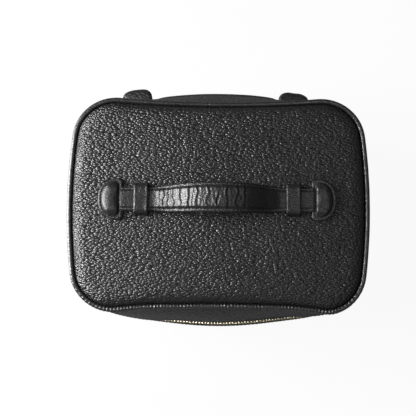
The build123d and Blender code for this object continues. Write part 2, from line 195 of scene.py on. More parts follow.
def outline(z, inset):
    """The closed outline at a height, as (x, y) points from the front left corner's end,
    to the right along the front and on round the case."""
    draw_in, front_bow, back_bow = level_at(z)
    wide = HALF_WIDTH - draw_in
    deep = HALF_DEPTH - draw_in
    side_radius = bow_radius(deep - CORNER, SIDE_BOW)
    corners = []
    ends = []
    for side_x, side_y in [(-1, -1), (1, -1), (1, 1), (-1, 1)]:
        bow = front_bow if side_y < 0 else back_bow
        bow = bow if abs(bow) > LEAST_BOW else LEAST_BOW
        end_radius = bow_radius(wide - CORNER, bow)
        end_centre = Vector((0.0, side_y * (deep + bow - end_radius)))
        side_centre = Vector((side_x * (wide + SIDE_BOW - side_radius), 0.0))
        centre = circle_crossing(
            end_centre, abs(end_radius - CORNER), side_centre, abs(side_radius - CORNER),
            side_x, side_y,
        )
        on_end = end_centre + (centre - end_centre).normalized() * abs(end_radius - inset)
        on_side = side_centre + (centre - side_centre).normalized() * abs(side_radius - inset)
        corners.append((centre, on_end, on_side))
        ends.append((end_centre, side_centre))
    fl, fr, br, bl = corners
    arcs = [
        (ends[0][0], fl[1], fr[1]), (fr[0], fr[1], fr[2]), (ends[1][1], fr[2], br[2]),
        (br[0], br[2], br[1]), (ends[2][0], br[1], bl[1]), (bl[0], bl[1], bl[2]),
        (ends[3][1], bl[2], fl[2]), (fl[0], fl[2], fl[1]),
    ]
    points = []
    for arc, steps in zip(arcs, ARC_STEPS):
        points.extend(arc_points(*arc, steps))
    return [settled(p, z) for p in points]


print("outline points:", len(outline(EDGE_Z, 0.0)))


# %% [markdown]
# A soft wall is a ring: one outline for each row of its cross-section, joined by faces.
# Building it from rows keeps the leather's two sides and its turned edges in one closed
# mesh, which bends more like hide than a flat sheet given a thickness.

# %% Mesh helpers
def add_object(name, verts, faces, edges=()):
    mesh = bpy.data.meshes.new(name)
    mesh.from_pydata([tuple(v) for v in verts], edges, faces)
    mesh.update()
    obj = bpy.data.objects.new(name, mesh)
    bpy.context.scene.collection.objects.link(obj)
    return obj


def shade_smooth(mesh):
    mesh.polygons.foreach_set("use_smooth", [True] * len(mesh.polygons))


def rows_mesh(name, rows, body=None, closed_rows=True, round_rows=True):
    """A closed mesh from rows of points. A row is a loop, or an open line where round_rows
    is off. The rows run round a ring, or from one capped end to the other."""
    count = len(rows[0])
    faces = []
    for r in range(len(rows) if closed_rows else len(rows) - 1):
        a = r * count
        b = ((r + 1) % len(rows)) * count
        for k in range(count if round_rows else count - 1):
            n = (k + 1) % count
            faces.append((a + k, a + n, b + n, b + k))
    if not closed_rows:
        faces.append(tuple(range(count - 1, -1, -1)))
        faces.append(tuple((len(rows) - 1) * count + k for k in range(count)))
    if not round_rows:
        faces.append(tuple(r * count for r in range(len(rows))))
        faces.append(tuple(r * count + count - 1 for r in range(len(rows))))
    obj = add_object(name, [p for row in rows for p in row], faces)
    bm = bmesh.new()
    bm.from_mesh(obj.data)
    bmesh.ops.remove_doubles(bm, verts=bm.verts, dist=1e-7)
    bmesh.ops.recalc_face_normals(bm, faces=bm.faces)
    bm.to_mesh(obj.data)
    bm.free()
    shade_smooth(obj.data)
    if body:
        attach(obj, body)
    return obj


def place_material(obj, material):
    obj.data.materials.clear()
    obj.data.materials.append(material)


def dress(obj, material, slot, *replaced):
    """Gives a piece its material and hides the nodes it stands for; its slot is not used."""
    place_material(obj, material)
    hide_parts(*replaced)
    return obj


def ripple(x, y, z, scale, seed):
    """A smooth wander between -1 and 1 over the surface."""
    return noise.noise(Vector((x / scale + seed, y / scale, z / scale)))


print("a ripple at the middle of the lid:", round(ripple(0.0, 0.0, EDGE_Z, 0.03, 1.0), 3))


# %% [markdown]
# Materials and trees are built from nodes, so a few helpers come first. One adds a node
# and fills its inputs: a number is set on the socket, and another node's output is
# linked to it. The others make a group with named sockets and the commonest maths.

# %% Node helpers
def fill(tree, node, inputs):
    """Sets each input of a node to a value, or links it where the value is a socket."""
    for key, value in inputs.items():
        if isinstance(value, bpy.types.NodeSocket):
            tree.links.new(value, node.inputs[key])
        else:
            node.inputs[key].default_value = value
    return node


def add_node(tree, kind, inputs=None, **settings):
    node = tree.nodes.new(kind)
    for key, value in settings.items():
        setattr(node, key, value)
    return fill(tree, node, inputs or {})


def new_group(kind, name, inputs, outputs):
    """A node group with named sockets: (label, type, value) each in, (label, type) out."""
    group = bpy.data.node_groups.new(name, kind)
    for label, socket_type, value in inputs:
        socket = group.interface.new_socket(
            label, in_out="INPUT", socket_type=f"NodeSocket{socket_type}"
        )
        if value is not None:
            socket.default_value = value
    for label, socket_type in outputs:
        group.interface.new_socket(
            label, in_out="OUTPUT", socket_type=f"NodeSocket{socket_type}"
        )
    return group, add_node(group, "NodeGroupInput").outputs


def maths(tree, kind, a, b, clamp=False):
    return add_node(
        tree, "ShaderNodeMath", {0: a, 1: b}, operation=kind, use_clamp=clamp
    ).outputs[0]


def map_range(tree, value, low, high, start=0.0, end=1.0):
    """A value that runs from low to high while the input runs from start to end."""
    return add_node(tree, "ShaderNodeMapRange", {
        "Value": value, "From Min": start, "From Max": end, "To Min": low, "To Max": high,
    }).outputs[0]


def object_place(tree):
    """The Object coordinates, on which every pattern lies."""
    return add_node(tree, "ShaderNodeTexCoord").outputs["Object"]


print("helpers:", [helper.__name__ for helper in (add_node, new_group, maths, map_range)])

# %% [markdown]
# Leather is one effect with several looks, so its grain is a shared node group. Cells of a
# Voronoi texture give the pebbles, a wandering noise keeps them uneven, and a finer noise
# gives the pores. The group puts out a height for the bump and a mask of the valleys, which
# the leathers use to darken their colour there as painted shade. A second group gives the
# broad patches that hands have polished.

# %% Shared node groups
HIDE_TURN = math.radians(38.0)
HIDE_STRETCH = (0.68, 1.12, 1.0)
PEBBLE_WANDER = 0.3 * mm(4.0)
VALLEY_WIDTH = 0.25
VALLEY_DEPTH = 0.12


def pebble_group():
    group, given = new_group(
        "ShaderNodeTree", "pebble_grain",
        [("Scale", "Float", 420.0), ("Pores", "Float", 0.05)],
        [("Height", "Float"), ("ValleyShade", "Float")],
    )
    place = object_place(group)
    hide = add_node(group, "ShaderNodeMapping", {
        "Vector": place, "Rotation": (0.0, 0.0, HIDE_TURN), "Scale": HIDE_STRETCH,
    })
    wander = add_node(group, "ShaderNodeTexNoise", {"Vector": place, "Scale": 160.0})
    shift = add_node(
        group, "ShaderNodeVectorMath", {0: wander.outputs["Color"], "Scale": PEBBLE_WANDER},
        operation="SCALE",
    )
    moved = add_node(group, "ShaderNodeVectorMath", {0: hide.outputs[0], 1: shift.outputs[0]})
    at_cell = {"Vector": moved.outputs[0], "Scale": given["Scale"]}
    cells = add_node(
        group, "ShaderNodeTexVoronoi", {**at_cell, "Smoothness": 0.35}, feature="SMOOTH_F1"
    )
    edges = add_node(group, "ShaderNodeTexVoronoi", at_cell, feature="DISTANCE_TO_EDGE")
    pores = add_node(
        group, "ShaderNodeTexNoise", {"Vector": place, "Scale": 2600.0, "Detail": 3.0}
    )
    dome = maths(group, "SUBTRACT", 1.0, maths(group, "POWER", cells.outputs["Distance"], 2.0))
    # The valley mask lowers the bump in the valleys, and the leathers darken their colour there as
    # painted shade.
    valley = map_range(group, edges.outputs["Distance"], 1.0, 0.0, end=VALLEY_WIDTH)
    raised = maths(group, "SUBTRACT", dome, maths(group, "MULTIPLY", valley, VALLEY_DEPTH))
    fine = maths(group, "MULTIPLY", pores.outputs["Fac"], given["Pores"])
    height = maths(group, "ADD", raised, fine)
    add_node(group, "NodeGroupOutput", {"Height": height, "ValleyShade": valley})
    return group


def handling_group():
    """Broad patches where hands have polished the surface."""
    group, given = new_group(
        "ShaderNodeTree", "handling", [("Scale", "Float", 28.0)], [("Polish", "Float")]
    )
    patch = add_node(group, "ShaderNodeTexNoise", {
        "Vector": object_place(group), "Scale": given["Scale"], "Detail": 4.0,
    })
    polish = map_range(group, patch.outputs["Fac"], 0.0, 1.0, start=0.35, end=0.7)
    add_node(group, "NodeGroupOutput", {"Polish": polish})
    return group


PEBBLE = pebble_group()
HANDLING = handling_group()
print("groups:", PEBBLE.name, HANDLING.name)


# %% [markdown]
# Each leather then sets its own values: coarse pebbles on the case, finer ones where the
# hide is stretched over the piping, and hardly any on the polished handle, which has
# cross creases from being bent in the hand. Seen along its surface, leather looks duller,
# so a Layer Weight adds to the roughness there.

# %% Leather materials
BLACK = (0.012, 0.0122, 0.012)
# Painted shade: the valleys between pebbles are coloured darker than the black leather.
VALLEY_SHADE_BLACK = tuple(c * 0.35 for c in BLACK)
POLISH_SWING = 0.06
GRAZING_DULLNESS = 0.5
CREASE_STRETCH = (1.0, 0.22, 0.6)


def new_material(name):
    material = bpy.data.materials.new(name)
    material.use_nodes = True
    return material, material.node_tree, material.node_tree.nodes["Principled BSDF"]


def mix_colour(tree, factor, low, high):
    return add_node(
        tree, "ShaderNodeMix", {"Factor": factor, "A": (*low, 1.0), "B": (*high, 1.0)},
        data_type="RGBA",
    ).outputs["Result"]


def bump(tree, height, depth):
    return add_node(tree, "ShaderNodeBump", {"Height": height, "Distance": depth}).outputs[0]


def leather(name, scale, depth, rough, crease=0.0, pores=0.05, coat=0.0, specular=0.4):
    """A leather with pebbles of one scale (cells per metre) and bump depth in metres."""
    material, tree, shader = new_material(name)
    grain = add_node(
        tree, "ShaderNodeGroup", {"Scale": scale, "Pores": pores}, node_tree=PEBBLE
    )
    hands = add_node(tree, "ShaderNodeGroup", node_tree=HANDLING)
    polished = map_range(
        tree, hands.outputs["Polish"], rough + POLISH_SWING, rough - POLISH_SWING
    )
    facing = add_node(tree, "ShaderNodeLayerWeight", {"Blend": 0.5}).outputs["Facing"]
    dull = maths(tree, "MULTIPLY", maths(tree, "POWER", facing, 2.0), GRAZING_DULLNESS)
    height = grain.outputs["Height"]
    if crease:
        across = add_node(tree, "ShaderNodeMapping", {
            "Vector": object_place(tree), "Scale": CREASE_STRETCH,
        })
        folds = add_node(tree, "ShaderNodeTexNoise", {
            "Vector": across.outputs[0], "Scale": 260.0, "Detail": 5.0, "Roughness": 0.62,
            "Distortion": 0.8,
        })
        height = maths(tree, "ADD", height, maths(tree, "MULTIPLY", folds.outputs["Fac"], crease))
    normal = bump(tree, height, depth)
    # The base colour is black, mixed towards a darker black in the pebbles' valleys as painted
    # shade.
    fill(tree, shader, {
        "Base Color": mix_colour(tree, grain.outputs["ValleyShade"], BLACK, VALLEY_SHADE_BLACK),
        "Roughness": maths(tree, "ADD", polished, dull, clamp=True),
        "Specular IOR Level": specular, "Coat Weight": coat, "Coat Roughness": 0.2,
        "Normal": normal, "Coat Normal": normal,
    })
    return material


case_leather = leather("case_leather", 620.0, mm(0.85), 0.26)
piping_leather = leather("piping_leather", 800.0, mm(0.2), 0.30, coat=0.3)
trim_leather = leather("trim_leather", 640.0, mm(0.4), 0.33)
handle_leather = leather(
    "handle_leather", 900.0, mm(0.2), 0.3, crease=2.2, pores=0.1, coat=0.15, specular=0.25
)
patch_leather = leather(
    "patch_leather", 1100.0, mm(0.12), 0.3, crease=1.2, pores=0.1, coat=0.1, specular=0.22
)
print("leathers:", [m.name for m in bpy.data.materials if "leather" in m.name])


# %% [markdown]
# Cloth, thread, board and metal are plainer. The weave is two crossed waves on object
# coordinates, and the others are flecks of noise in two near colours: soft and dull for
# thread and board, and very fine and glossy for the zip's brass and the mirror.

# %% Cloth, thread, board and metal materials
THREAD_TURN = math.radians(45)
CLOTH_ROUGHNESS = (0.85, 0.75)


def woven(name, colour, threads, depth):
    """Cloth whose threads cross; threads is the scale of the two waves."""
    material, tree, shader = new_material(name)
    place = object_place(tree)
    waves = []
    for turn in (THREAD_TURN, -THREAD_TURN):
        turned = add_node(
            tree, "ShaderNodeMapping", {"Vector": place, "Rotation": (turn, turn, turn)}
        )
        wave = add_node(
            tree, "ShaderNodeTexWave", {"Vector": turned.outputs[0], "Scale": threads}
        )
        waves.append(wave.outputs["Fac"])
    cloth = maths(tree, "MULTIPLY", *waves)
    light = tuple(min(c * 1.6, 1.0) for c in colour)
    fill(tree, shader, {
        "Base Color": mix_colour(tree, cloth, colour, light),
        "Roughness": map_range(tree, cloth, *CLOTH_ROUGHNESS),
        "Sheen Weight": 0.2, "Normal": bump(tree, cloth, depth),
    })
    return material


def speckled(name, low, high, scale, rough, metallic=0.0, depth=mm(0.05)):
    """A plain stuff, flecked between two near colours."""
    material, tree, shader = new_material(name)
    spots = add_node(tree, "ShaderNodeTexNoise", {
        "Vector": object_place(tree), "Scale": scale, "Detail": 5.0,
    }).outputs["Fac"]
    fill(tree, shader, {
        "Base Color": mix_colour(tree, spots, low, high),
        "Roughness": map_range(tree, spots, rough - 0.08, rough + 0.1),
        "Metallic": metallic, "Normal": bump(tree, spots, depth),
    })
    return material


lining_cloth = woven("lining_cloth", (0.10, 0.095, 0.095), 700.0, mm(0.06))
elastic_cloth = woven("elastic_cloth", (0.03, 0.03, 0.03), 500.0, mm(0.12))
tape_cloth = woven("tape_cloth", (0.012, 0.012, 0.013), 900.0, mm(0.05))
thread = speckled("thread", (0.02, 0.02, 0.021), (0.05, 0.05, 0.052), 2500.0, 0.55)
board_fibre = speckled("board_fibre", (0.30, 0.22, 0.14), (0.42, 0.33, 0.22), 900.0, 0.85)
zip_metal = speckled(
    "zip_metal", (0.55, 0.47, 0.32), (0.72, 0.64, 0.47), 1800.0, 0.28, 1.0, mm(0.01)
)
mirror_silver = speckled(
    "mirror_silver", (0.86, 0.88, 0.88), (0.9, 0.92, 0.92), 20.0, 0.1, 1.0, 0.0
)
kept_nodes = {
    "base_board": board_fibre, "mirror_glass": mirror_silver,
    "zip_slider": zip_metal, "zip_pull": zip_metal,
}
for node, material in kept_nodes.items():
    place_material(nodes[node], material)
print("nodes shown as they are:", list(kept_nodes))


# %% [markdown]
# The body wall is one hide wrapped round the case. Its rows go up the outside, over the
# turned edge at the zip and down the inside. A slow ripple, strongest half way up, keeps
# it from looking machined, and it fades to nothing at the seams that hold the hide.

# %% Walls of leather
TURNED_EDGE = mm(0.7)
EDGE_ANGLES = (0.3, 0.9, math.pi / 2)
SLOW_RIPPLE = mm(60.0)
QUICK_RIPPLE = mm(18.0)
QUICK_SHARE = 0.25


def leather_wall(name, body, low, high, steps, sag, seed):
    """Rows round a leather wall: outside upwards, a rounded rim, and back down inside."""
    edge = TURNED_EDGE
    turned = [(SKIN + edge * (1 - math.sin(a)), edge * (1 - math.cos(a))) for a in EDGE_ANGLES]
    profile = [(inset, low + rise) for inset, rise in turned]
    profile += [(SKIN, low + edge + (high - low - 2 * edge) * k / steps) for k in range(1, steps)]
    profile += [(inset, high - rise) for inset, rise in reversed(turned)]
    back = SKIN + LEATHER
    profile += [(back, high - edge), (back, (high + low) / 2), (back, low + edge)]
    rows = []
    for inset, z in profile:
        hold = math.sin(math.pi * min(max((z - low) / (high - low), 0.0), 1.0))
        row = []
        for p in outline(z, inset):
            push = 0.0
            if inset < back:
                slow = ripple(p.x, p.y, z, SLOW_RIPPLE, seed)
                quick = ripple(p.x, p.y, z * 0.6, QUICK_RIPPLE, seed + 7)
                push = sag * hold * (slow + QUICK_SHARE * quick)
            away = p.normalized() * push
            row.append((p.x + away.x, p.y + away.y, z))
        rows.append(row)
    return rows_mesh(name, rows, body)


body_wall = leather_wall("body_wall", "case_body", WALL_START, RIM_LOW, 40, mm(0.8), 3.0)
dress(body_wall, case_leather, "case_leather", "front_wall_leather", "back_wall_leather")
lid_wall = leather_wall("lid_wall", "lid", RIM_HIGH, EDGE_Z - mm(0.8), 16, mm(0.5), 11.0)
dress(lid_wall, case_leather, "case_leather", "lid_wall_leather")
print("wall faces:", len(body_wall.data.polygons), len(lid_wall.data.polygons))


# %% [markdown]
# Behind the leather come a stiff board, a cloth lining and a narrow leather binding rolled
# over the board's raw edge. Each is a band between two insets and two heights. The zip's
# tapes are bands too, cut away where the hinge strip takes their place at the back.

# %% Helpers for bands
TAPE_FRONT = SKIN + LEATHER
TAPE_BACK = mm(3.7)
BOARD_BACK = mm(4.8)
LINING_BACK = mm(5.6)
BINDING_BACK = mm(6.0)
BINDING_HEM = mm(3.0)
BINDING_ROLL = mm(1.4)
TAPE_EDGE = mm(0.25)
TAPE_TUCK = mm(8.0)
TAPE_SLIT = mm(0.8)
LOWER_TAPE_END = mm(44.0)
UPPER_TAPE_END = mm(76.0)
BAND_STEPS = 6


def band(name, body, outer, inner, low, high, edge, wave=0.0, keep=None):
    """A band of the wall, with eased edges and, for cloth, a slight wave."""
    rise = high - low - 2 * edge
    levels = [low + edge + rise * k / BAND_STEPS for k in range(BAND_STEPS + 1)]
    profile = [(outer, low + edge), (outer + edge, low), (inner - edge, low)]
    profile += [(inner, z) for z in levels]
    profile += [(inner - edge, high), (outer + edge, high)]
    profile += [(outer, z) for z in levels[:0:-1]]
    reference = outline((low + high) / 2, outer)
    picked = range(len(reference))
    if keep:
        picked = [k for k in picked if keep(reference[k])]
        breaks = [n for n in range(1, len(picked)) if picked[n] != picked[n - 1] + 1]
        if breaks:
            picked = picked[breaks[0]:] + picked[:breaks[0]]
    rows = []
    for inset, z in profile:
        ring = outline(z, inset)
        row = []
        for p in (ring[k] for k in picked):
            push = 1 + wave * ripple(p.x, p.y, z, 0.02, 41.0) / p.length
            row.append((p.x * push, p.y * push, z))
        rows.append(row)
    return rows_mesh(name, rows, body, round_rows=keep is None)


def tape(name, body, low, high, keep, node):
    """A band of zip tape, made only where keep says so."""
    cloth = band(name, body, TAPE_FRONT, TAPE_BACK, low, high, TAPE_EDGE, 0.0, keep)
    dress(cloth, tape_cloth, "tape", node)


print("sides of a full band:", len(outline(RIM_LOW, TAPE_BACK)))

# %% [markdown]
# Each row below is one band: its body, its insets from the outside, its two heights, how
# far its edges are eased, how much it waves, and then what it is made of. The tapes stop
# short of the hinge, and the upper tape's ends beside it belong to the body.

# %% The bands of the case
bands = [
    ("body_board", "case_body", TAPE_BACK, BOARD_BACK, WALL_START, RIM_LOW, mm(0.2), 0.0,
     board_fibre, "board", "wall_board"),
    ("body_lining", "case_body", BOARD_BACK, LINING_BACK, mm(5.3), RIM_LOW, mm(0.2), mm(0.2),
     lining_cloth, "lining", "wall_lining"),
    ("body_binding", "case_body", TAPE_BACK, BINDING_BACK, RIM_LOW - BINDING_HEM,
     RIM_LOW + BINDING_ROLL, mm(0.7), mm(0.15), trim_leather, "case_leather", "rim_binding"),
    ("lid_board", "lid", TAPE_BACK, BOARD_BACK, RIM_HIGH, mm(146.6), mm(0.2), 0.0,
     board_fibre, "board", "lid_wall_board"),
    ("lid_lining", "lid", BOARD_BACK, LINING_BACK, RIM_HIGH, mm(145.2), mm(0.2), mm(0.2),
     lining_cloth, "lining", "lid_wall_lining"),
    ("lid_binding", "lid", TAPE_BACK, BINDING_BACK, RIM_HIGH - BINDING_ROLL,
     RIM_HIGH + BINDING_HEM, mm(0.7), mm(0.15), trim_leather, "case_leather",
     "lid_rim_binding"),
]
for *shape, material, slot, node in bands:
    dress(band(*shape), material, slot, node)

tape("zip_tape_lower_cloth", "case_body", RIM_LOW - TAPE_TUCK, ZIP_Z - TAPE_SLIT,
     lambda p: p.y < 0 or abs(p.x) > LOWER_TAPE_END, "zip_tape_lower")
tape("zip_tape_upper_cloth", "lid", ZIP_Z + TAPE_SLIT, RIM_HIGH + TAPE_TUCK,
     lambda p: p.y < 0 or abs(p.x) > UPPER_TAPE_END, "zip_tape_upper")
for side in (-1, 1):
    tape(f"zip_tails_cloth_{side + 1}", "case_body", ZIP_Z + TAPE_SLIT, RIM_HIGH - mm(0.3),
         lambda p: p.y > 0 and LOWER_TAPE_END < side * p.x < UPPER_TAPE_END - mm(1.0),
         "zip_tape_tails")
print("bands:", len(bands), "and 4 of tape")


# %% [markdown]
# Piping is hide wrapped round a cord, at the lid's edge and again round the base. Along
# the lid's concave front the spare hide gathers, so the tube there swells and pinches in
# short steps. Its two ends meet at the back in a plain butt joint, a hair's width apart.

# %% Helpers for piping
PIPING_R = mm(2.0)
PIPING_INSET = mm(2.1)
BASE_CORD_Z = mm(2.6)
GATHER_PITCH = mm(2.4)
GATHER_DEPTH = mm(0.42)
BUTT_JOINT = Vector((mm(-7.6), mm(74.0)))
TUBE_SIDES = 20


def resample(points, step):
    """Even points along a closed line, about one step apart, with their headings."""
    total = 0.0
    runs = [0.0]
    loop = points + points[:1]
    for a, b in zip(loop, loop[1:]):
        total += (b - a).length
        runs.append(total)
    count = round(total / step)
    found = []
    cursor = 0
    for k in range(count):
        wanted = total * k / count
        while runs[cursor + 1] < wanted:
            cursor += 1
        share = (wanted - runs[cursor]) / (runs[cursor + 1] - runs[cursor])
        place = loop[cursor].lerp(loop[cursor + 1], share)
        heading = (loop[cursor + 1] - loop[cursor]).normalized()
        found.append((place, heading))
    return found


def tube_row(place, heading, z, radius_at):
    """One ring of a tube that runs level. Its radius may change with the ring's height."""
    normal = Vector((heading.y, -heading.x))
    row = []
    for s in range(TUBE_SIDES):
        angle = 2 * math.pi * s / TUBE_SIDES
        radius = radius_at(math.sin(angle))
        out = normal * math.cos(angle) * radius
        row.append((place.x + out.x, place.y + out.y, z + radius * math.sin(angle)))
    return row


print("points round the lid, 10 mm apart:", len(resample(outline(EDGE_Z, PIPING_INSET), mm(10.0))))

# %% [markdown]
# The lid's tube is finely cut, so that each gather has several rings. The gathers grow
# with the sixth power of the place towards the front, so the sides and back stay plain.

# %% Tubes of the piping
def lid_piping():
    line = resample(outline(EDGE_Z, PIPING_INSET), mm(0.4))
    joint = min(range(len(line)), key=lambda k: (line[k][0] - BUTT_JOINT).length)
    rows = []
    for place, heading in line[joint + 1:] + line[:joint]:
        front = max(0.0, -place.y / HALF_DEPTH) ** 6
        phase = 2 * math.pi * place.x / GATHER_PITCH + 2.5 * ripple(place.x, 0.0, 0.0, 0.02, 5.0)
        uneven = 0.6 + 0.6 * ripple(place.x, place.y, 0.0, 0.01, 8.0)
        pinch = GATHER_DEPTH * front * uneven * math.sin(phase)
        pinch += mm(0.1) * ripple(place.x, place.y, 0.0, 0.008, 2.0)
        rows.append(tube_row(
            place, heading, EDGE_Z, lambda up: PIPING_R - mm(0.1) + pinch * (0.6 + 0.4 * up)
        ))
    return rows_mesh("piping_lid", rows, "lid", closed_rows=False)


def base_cord():
    rows = []
    for place, heading in resample(outline(WALL_START, PIPING_INSET), mm(1.2)):
        swell = mm(0.1) * ripple(place.x, place.y, 0.0, 0.006, 81.0)
        rows.append(tube_row(
            place, heading, BASE_CORD_Z, lambda up: PIPING_R + swell * max(up, 0.0)
        ))
    return rows_mesh("piping_base", rows, "case_body")


piping = dress(lid_piping(), piping_leather, "piping", "lid_piping")
print("rings in the lid's piping:", len(piping.data.vertices) // TUBE_SIDES)


# %% [markdown]
# The lid's top is hide over wadding, so it is a padded piece: a low crown that rolls down
# into the groove beside the piping. Rings of the outline shrink towards the middle, each
# lifted to the crown, and the roll is an ellipse as wide as the padding is soft there.

# %% Padded top of the lid
TOP_INSET = mm(4.3)
CROWN_TOP = mm(158.8)
CROWN_R = 1.5
ROLL_WIDTH = mm(11.0)
ROLL_POWER = 2.4
SEAM_Z = mm(148.9)
DEEP_INSET = mm(27.0)
ROLL_RINGS = 26
CROWN_RINGS = 22


def crown_at(x, y):
    return CROWN_TOP - CROWN_R + math.sqrt(CROWN_R ** 2 - x ** 2 - y ** 2)


def top_height(x, y, depth_in):
    """The height of the padded top, at a distance in from its seam."""
    full = crown_at(x, y)
    if depth_in < ROLL_WIDTH:
        share = 1.0 - depth_in / ROLL_WIDTH
        full = SEAM_Z + (full - SEAM_Z) * math.sqrt(max(1.0 - share ** ROLL_POWER, 0.0))
    hold = min(depth_in / ROLL_WIDTH, 1.0)
    wave = mm(0.35) * ripple(x, y, 0.0, 0.03, 1.0) + mm(0.12) * ripple(x, y, 0.0, 0.011, 4.0)
    return full + wave * hold


def padded_top():
    rows = []
    for flare, sunk in [(mm(0.9), mm(2.0)), (mm(0.2), mm(0.6))]:
        rows.append([(p.x, p.y, SEAM_Z - sunk) for p in outline(EDGE_Z, TOP_INSET - flare)])
    for k in range(ROLL_RINGS + 1):
        depth_in = (DEEP_INSET - TOP_INSET) * (k / ROLL_RINGS) ** 1.7
        ring = outline(EDGE_Z, TOP_INSET + depth_in)
        rows.append([(p.x, p.y, top_height(p.x, p.y, depth_in)) for p in ring])
    inner = outline(EDGE_Z, DEEP_INSET)
    for k in range(1, CROWN_RINGS):
        part = 1.0 - k / CROWN_RINGS
        row = [(p.x * part, p.y * part) for p in inner]
        rows.append([(x, y, top_height(x, y, DEEP_INSET)) for x, y in row])
    return rows_mesh("lid_top", rows, "lid", closed_rows=False)


lid_top = dress(padded_top(), case_leather, "case_leather", "lid_top_leather", "lid_top_pad")
print("faces of the padded top:", len(lid_top.data.polygons))

# %% [markdown]
# The handle is a strap that arches over the lid, slides under two leather keepers and ends
# in two D-shaped heads. Its side view is three tangent arcs. A rounded section follows
# them, thicker in the middle where it is filled, with a thin edge where it is stitched.

# %% Sizes of the handle
HANDLE_X = mm(-1.0)
HANDLE_Y = mm(3.5)
ROOT = mm(46.5)
RISE = mm(17.0)
LOWER_R = mm(25.0)
ARCH_T = mm(4.0)
NECK_T = mm(3.4)
FILLING = mm(1.1)
STRAP_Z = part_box("handle_strap_left")[0].z + mm(2.0)
HEAD_FLAT = mm(67.2)
HEAD_LENGTH = mm(17.6)
HEAD_WIDTH = mm(30.0)
TURN = 2 * math.atan2(RISE, ROOT)
UPPER_R = ROOT / math.sin(TURN) - LOWER_R
ARCH_HALF = (LOWER_R + UPPER_R) * TURN
STRAP_HALF = ARCH_HALF + (HEAD_FLAT - ROOT)
STRAP_STEPS = 260
SECTION_STEPS = 40
print("length of the strap between its heads, mm:", round(2000 * STRAP_HALF, 1))


# %% Line and section of the strap
def strap_place(s):
    """The middle of the strap at a signed length from its crest: (x, z, slope angle)."""
    side = 1.0 if s >= 0 else -1.0
    run = abs(s)
    if run <= UPPER_R * TURN:
        angle = run / UPPER_R
        return (side * UPPER_R * math.sin(angle),
                STRAP_Z + RISE - UPPER_R * (1 - math.cos(angle)), -side * angle)
    if run <= ARCH_HALF:
        angle = (ARCH_HALF - run) / LOWER_R
        return (side * (ROOT - LOWER_R * math.sin(angle)),
                STRAP_Z + LOWER_R * (1 - math.cos(angle)), -side * angle)
    return side * (ROOT + run - ARCH_HALF), STRAP_Z, 0.0


def strap_half_width(x):
    share = min(abs(x) / ROOT, 1.0)
    return mm(8.8) + mm(2.0) * math.cos(share * math.pi / 2) ** 0.8


def neck_share(x):
    """0 on the filled arch, 1 on the thin neck under the keepers."""
    return ease((abs(x) - mm(36.0)) / mm(10.0))


def strap_half_thick(x):
    neck = neck_share(x)
    return ARCH_T / 2 * (1 - neck) + NECK_T / 2 * neck


def strap_point(s, across, lift):
    x, z, slope = strap_place(s)
    return (HANDLE_X + x - math.sin(slope) * lift, HANDLE_Y + across,
            z + math.cos(slope) * lift)


def strap_section(half_width, half_thick, filling):
    """A flat rounded section with a stitched edge and a filled middle, as (across, up)."""
    points = []
    for k in range(SECTION_STEPS):
        t = k / (SECTION_STEPS - 1) * 2 - 1
        edge = min((1 - abs(t)) / 0.16, 1.0)
        middle = (1 - abs(t) - 0.22) / 0.2
        round_off = math.sqrt(max(1 - (1 - edge) ** 2, 0.0))
        crown = half_thick * 0.62 * round_off + (half_thick * 0.38 + filling) * ease(middle)
        points.append((t * half_width, crown))
    under = [(x, -half_thick * min(1.0, 0.2 + 4 * (half_width - abs(x)) / half_width))
             for x, _ in reversed(points[1:-1])]
    return points + under


print("width of the strap at its crest, mm:", round(2000 * strap_half_width(0.0), 1))

# %% [markdown]
# The strap's face is creased from years of being bent in the hand. Each crease is a ridge
# with a fold beside it, at a place read from the photograph, and it wanders as it
# crosses. The creases are in the mesh, so they catch the light from every side.

# %% Creases of the strap
# Where the deepest creases cross the strap, in mm from its middle
CREASES = (-44.0, -41.0, -37.5, -33.5, -30.0, -25.0, -19.5, -14.0, -7.0, -0.5, 5.5, 12.0, 17.0)


def crumple(x, across):
    """The height of the creases: a ridge with a fold beside it, wandering as it crosses."""
    total = 0.0
    for number, place in enumerate(CREASES):
        wander = mm(1.6) * ripple(across, 0.0, 0.0, 0.007, 10.0 + 3 * number)
        wander += mm(0.5) * ripple(across, 0.0, 0.0, 0.0022, 50.0 + number)
        away = x - mm(place) - wander
        strength = 0.55 + 0.45 * ripple(across, 0.0, 0.0, 0.012, 90.0 + 2 * number)
        total += strength * (math.exp(-(away / mm(0.75)) ** 2)
                             - 0.8 * math.exp(-((away - mm(1.5)) / mm(0.9)) ** 2))
    fine = ripple(x * 3.0, across, 0.0, 0.005, 33.0)
    worn = ease((mm(24.0) - x) / mm(16.0))
    return mm(0.62) * total + mm(0.24) * worn * fine


print("creases:", len(CREASES))


# %% Strap halves
def blend_strap(obj):
    """Bakes the placing of a piece of the strap into its mesh."""
    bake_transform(obj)


def strap_half(side, name):
    rows = []
    for k in range(STRAP_STEPS + 1):
        s = side * (STRAP_HALF + mm(1.0)) * k / STRAP_STEPS
        x = strap_place(s)[0]
        arch = 1 - neck_share(x)
        width = strap_half_width(x)
        row = []
        for across, up in strap_section(width, strap_half_thick(x), FILLING * arch):
            lift = up
            if up > 0:
                hold = arch * (1 - ease((abs(across) / width - 0.6) / 0.3))
                lift += crumple(x, across) * hold
            row.append(strap_point(s, across, lift))
        rows.append(row)
    return rows_mesh(f"strap_{name}", rows, closed_rows=False)


for side, name in [(-1, "left"), (1, "right")]:
    strap = strap_half(side, name)
    blend_strap(strap)
    dress(strap, handle_leather, "handle_leather", f"handle_strap_{name}")
    if side < 0:
        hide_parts("handle_grip")
    print(strap.name, "faces:", len(strap.data.polygons))


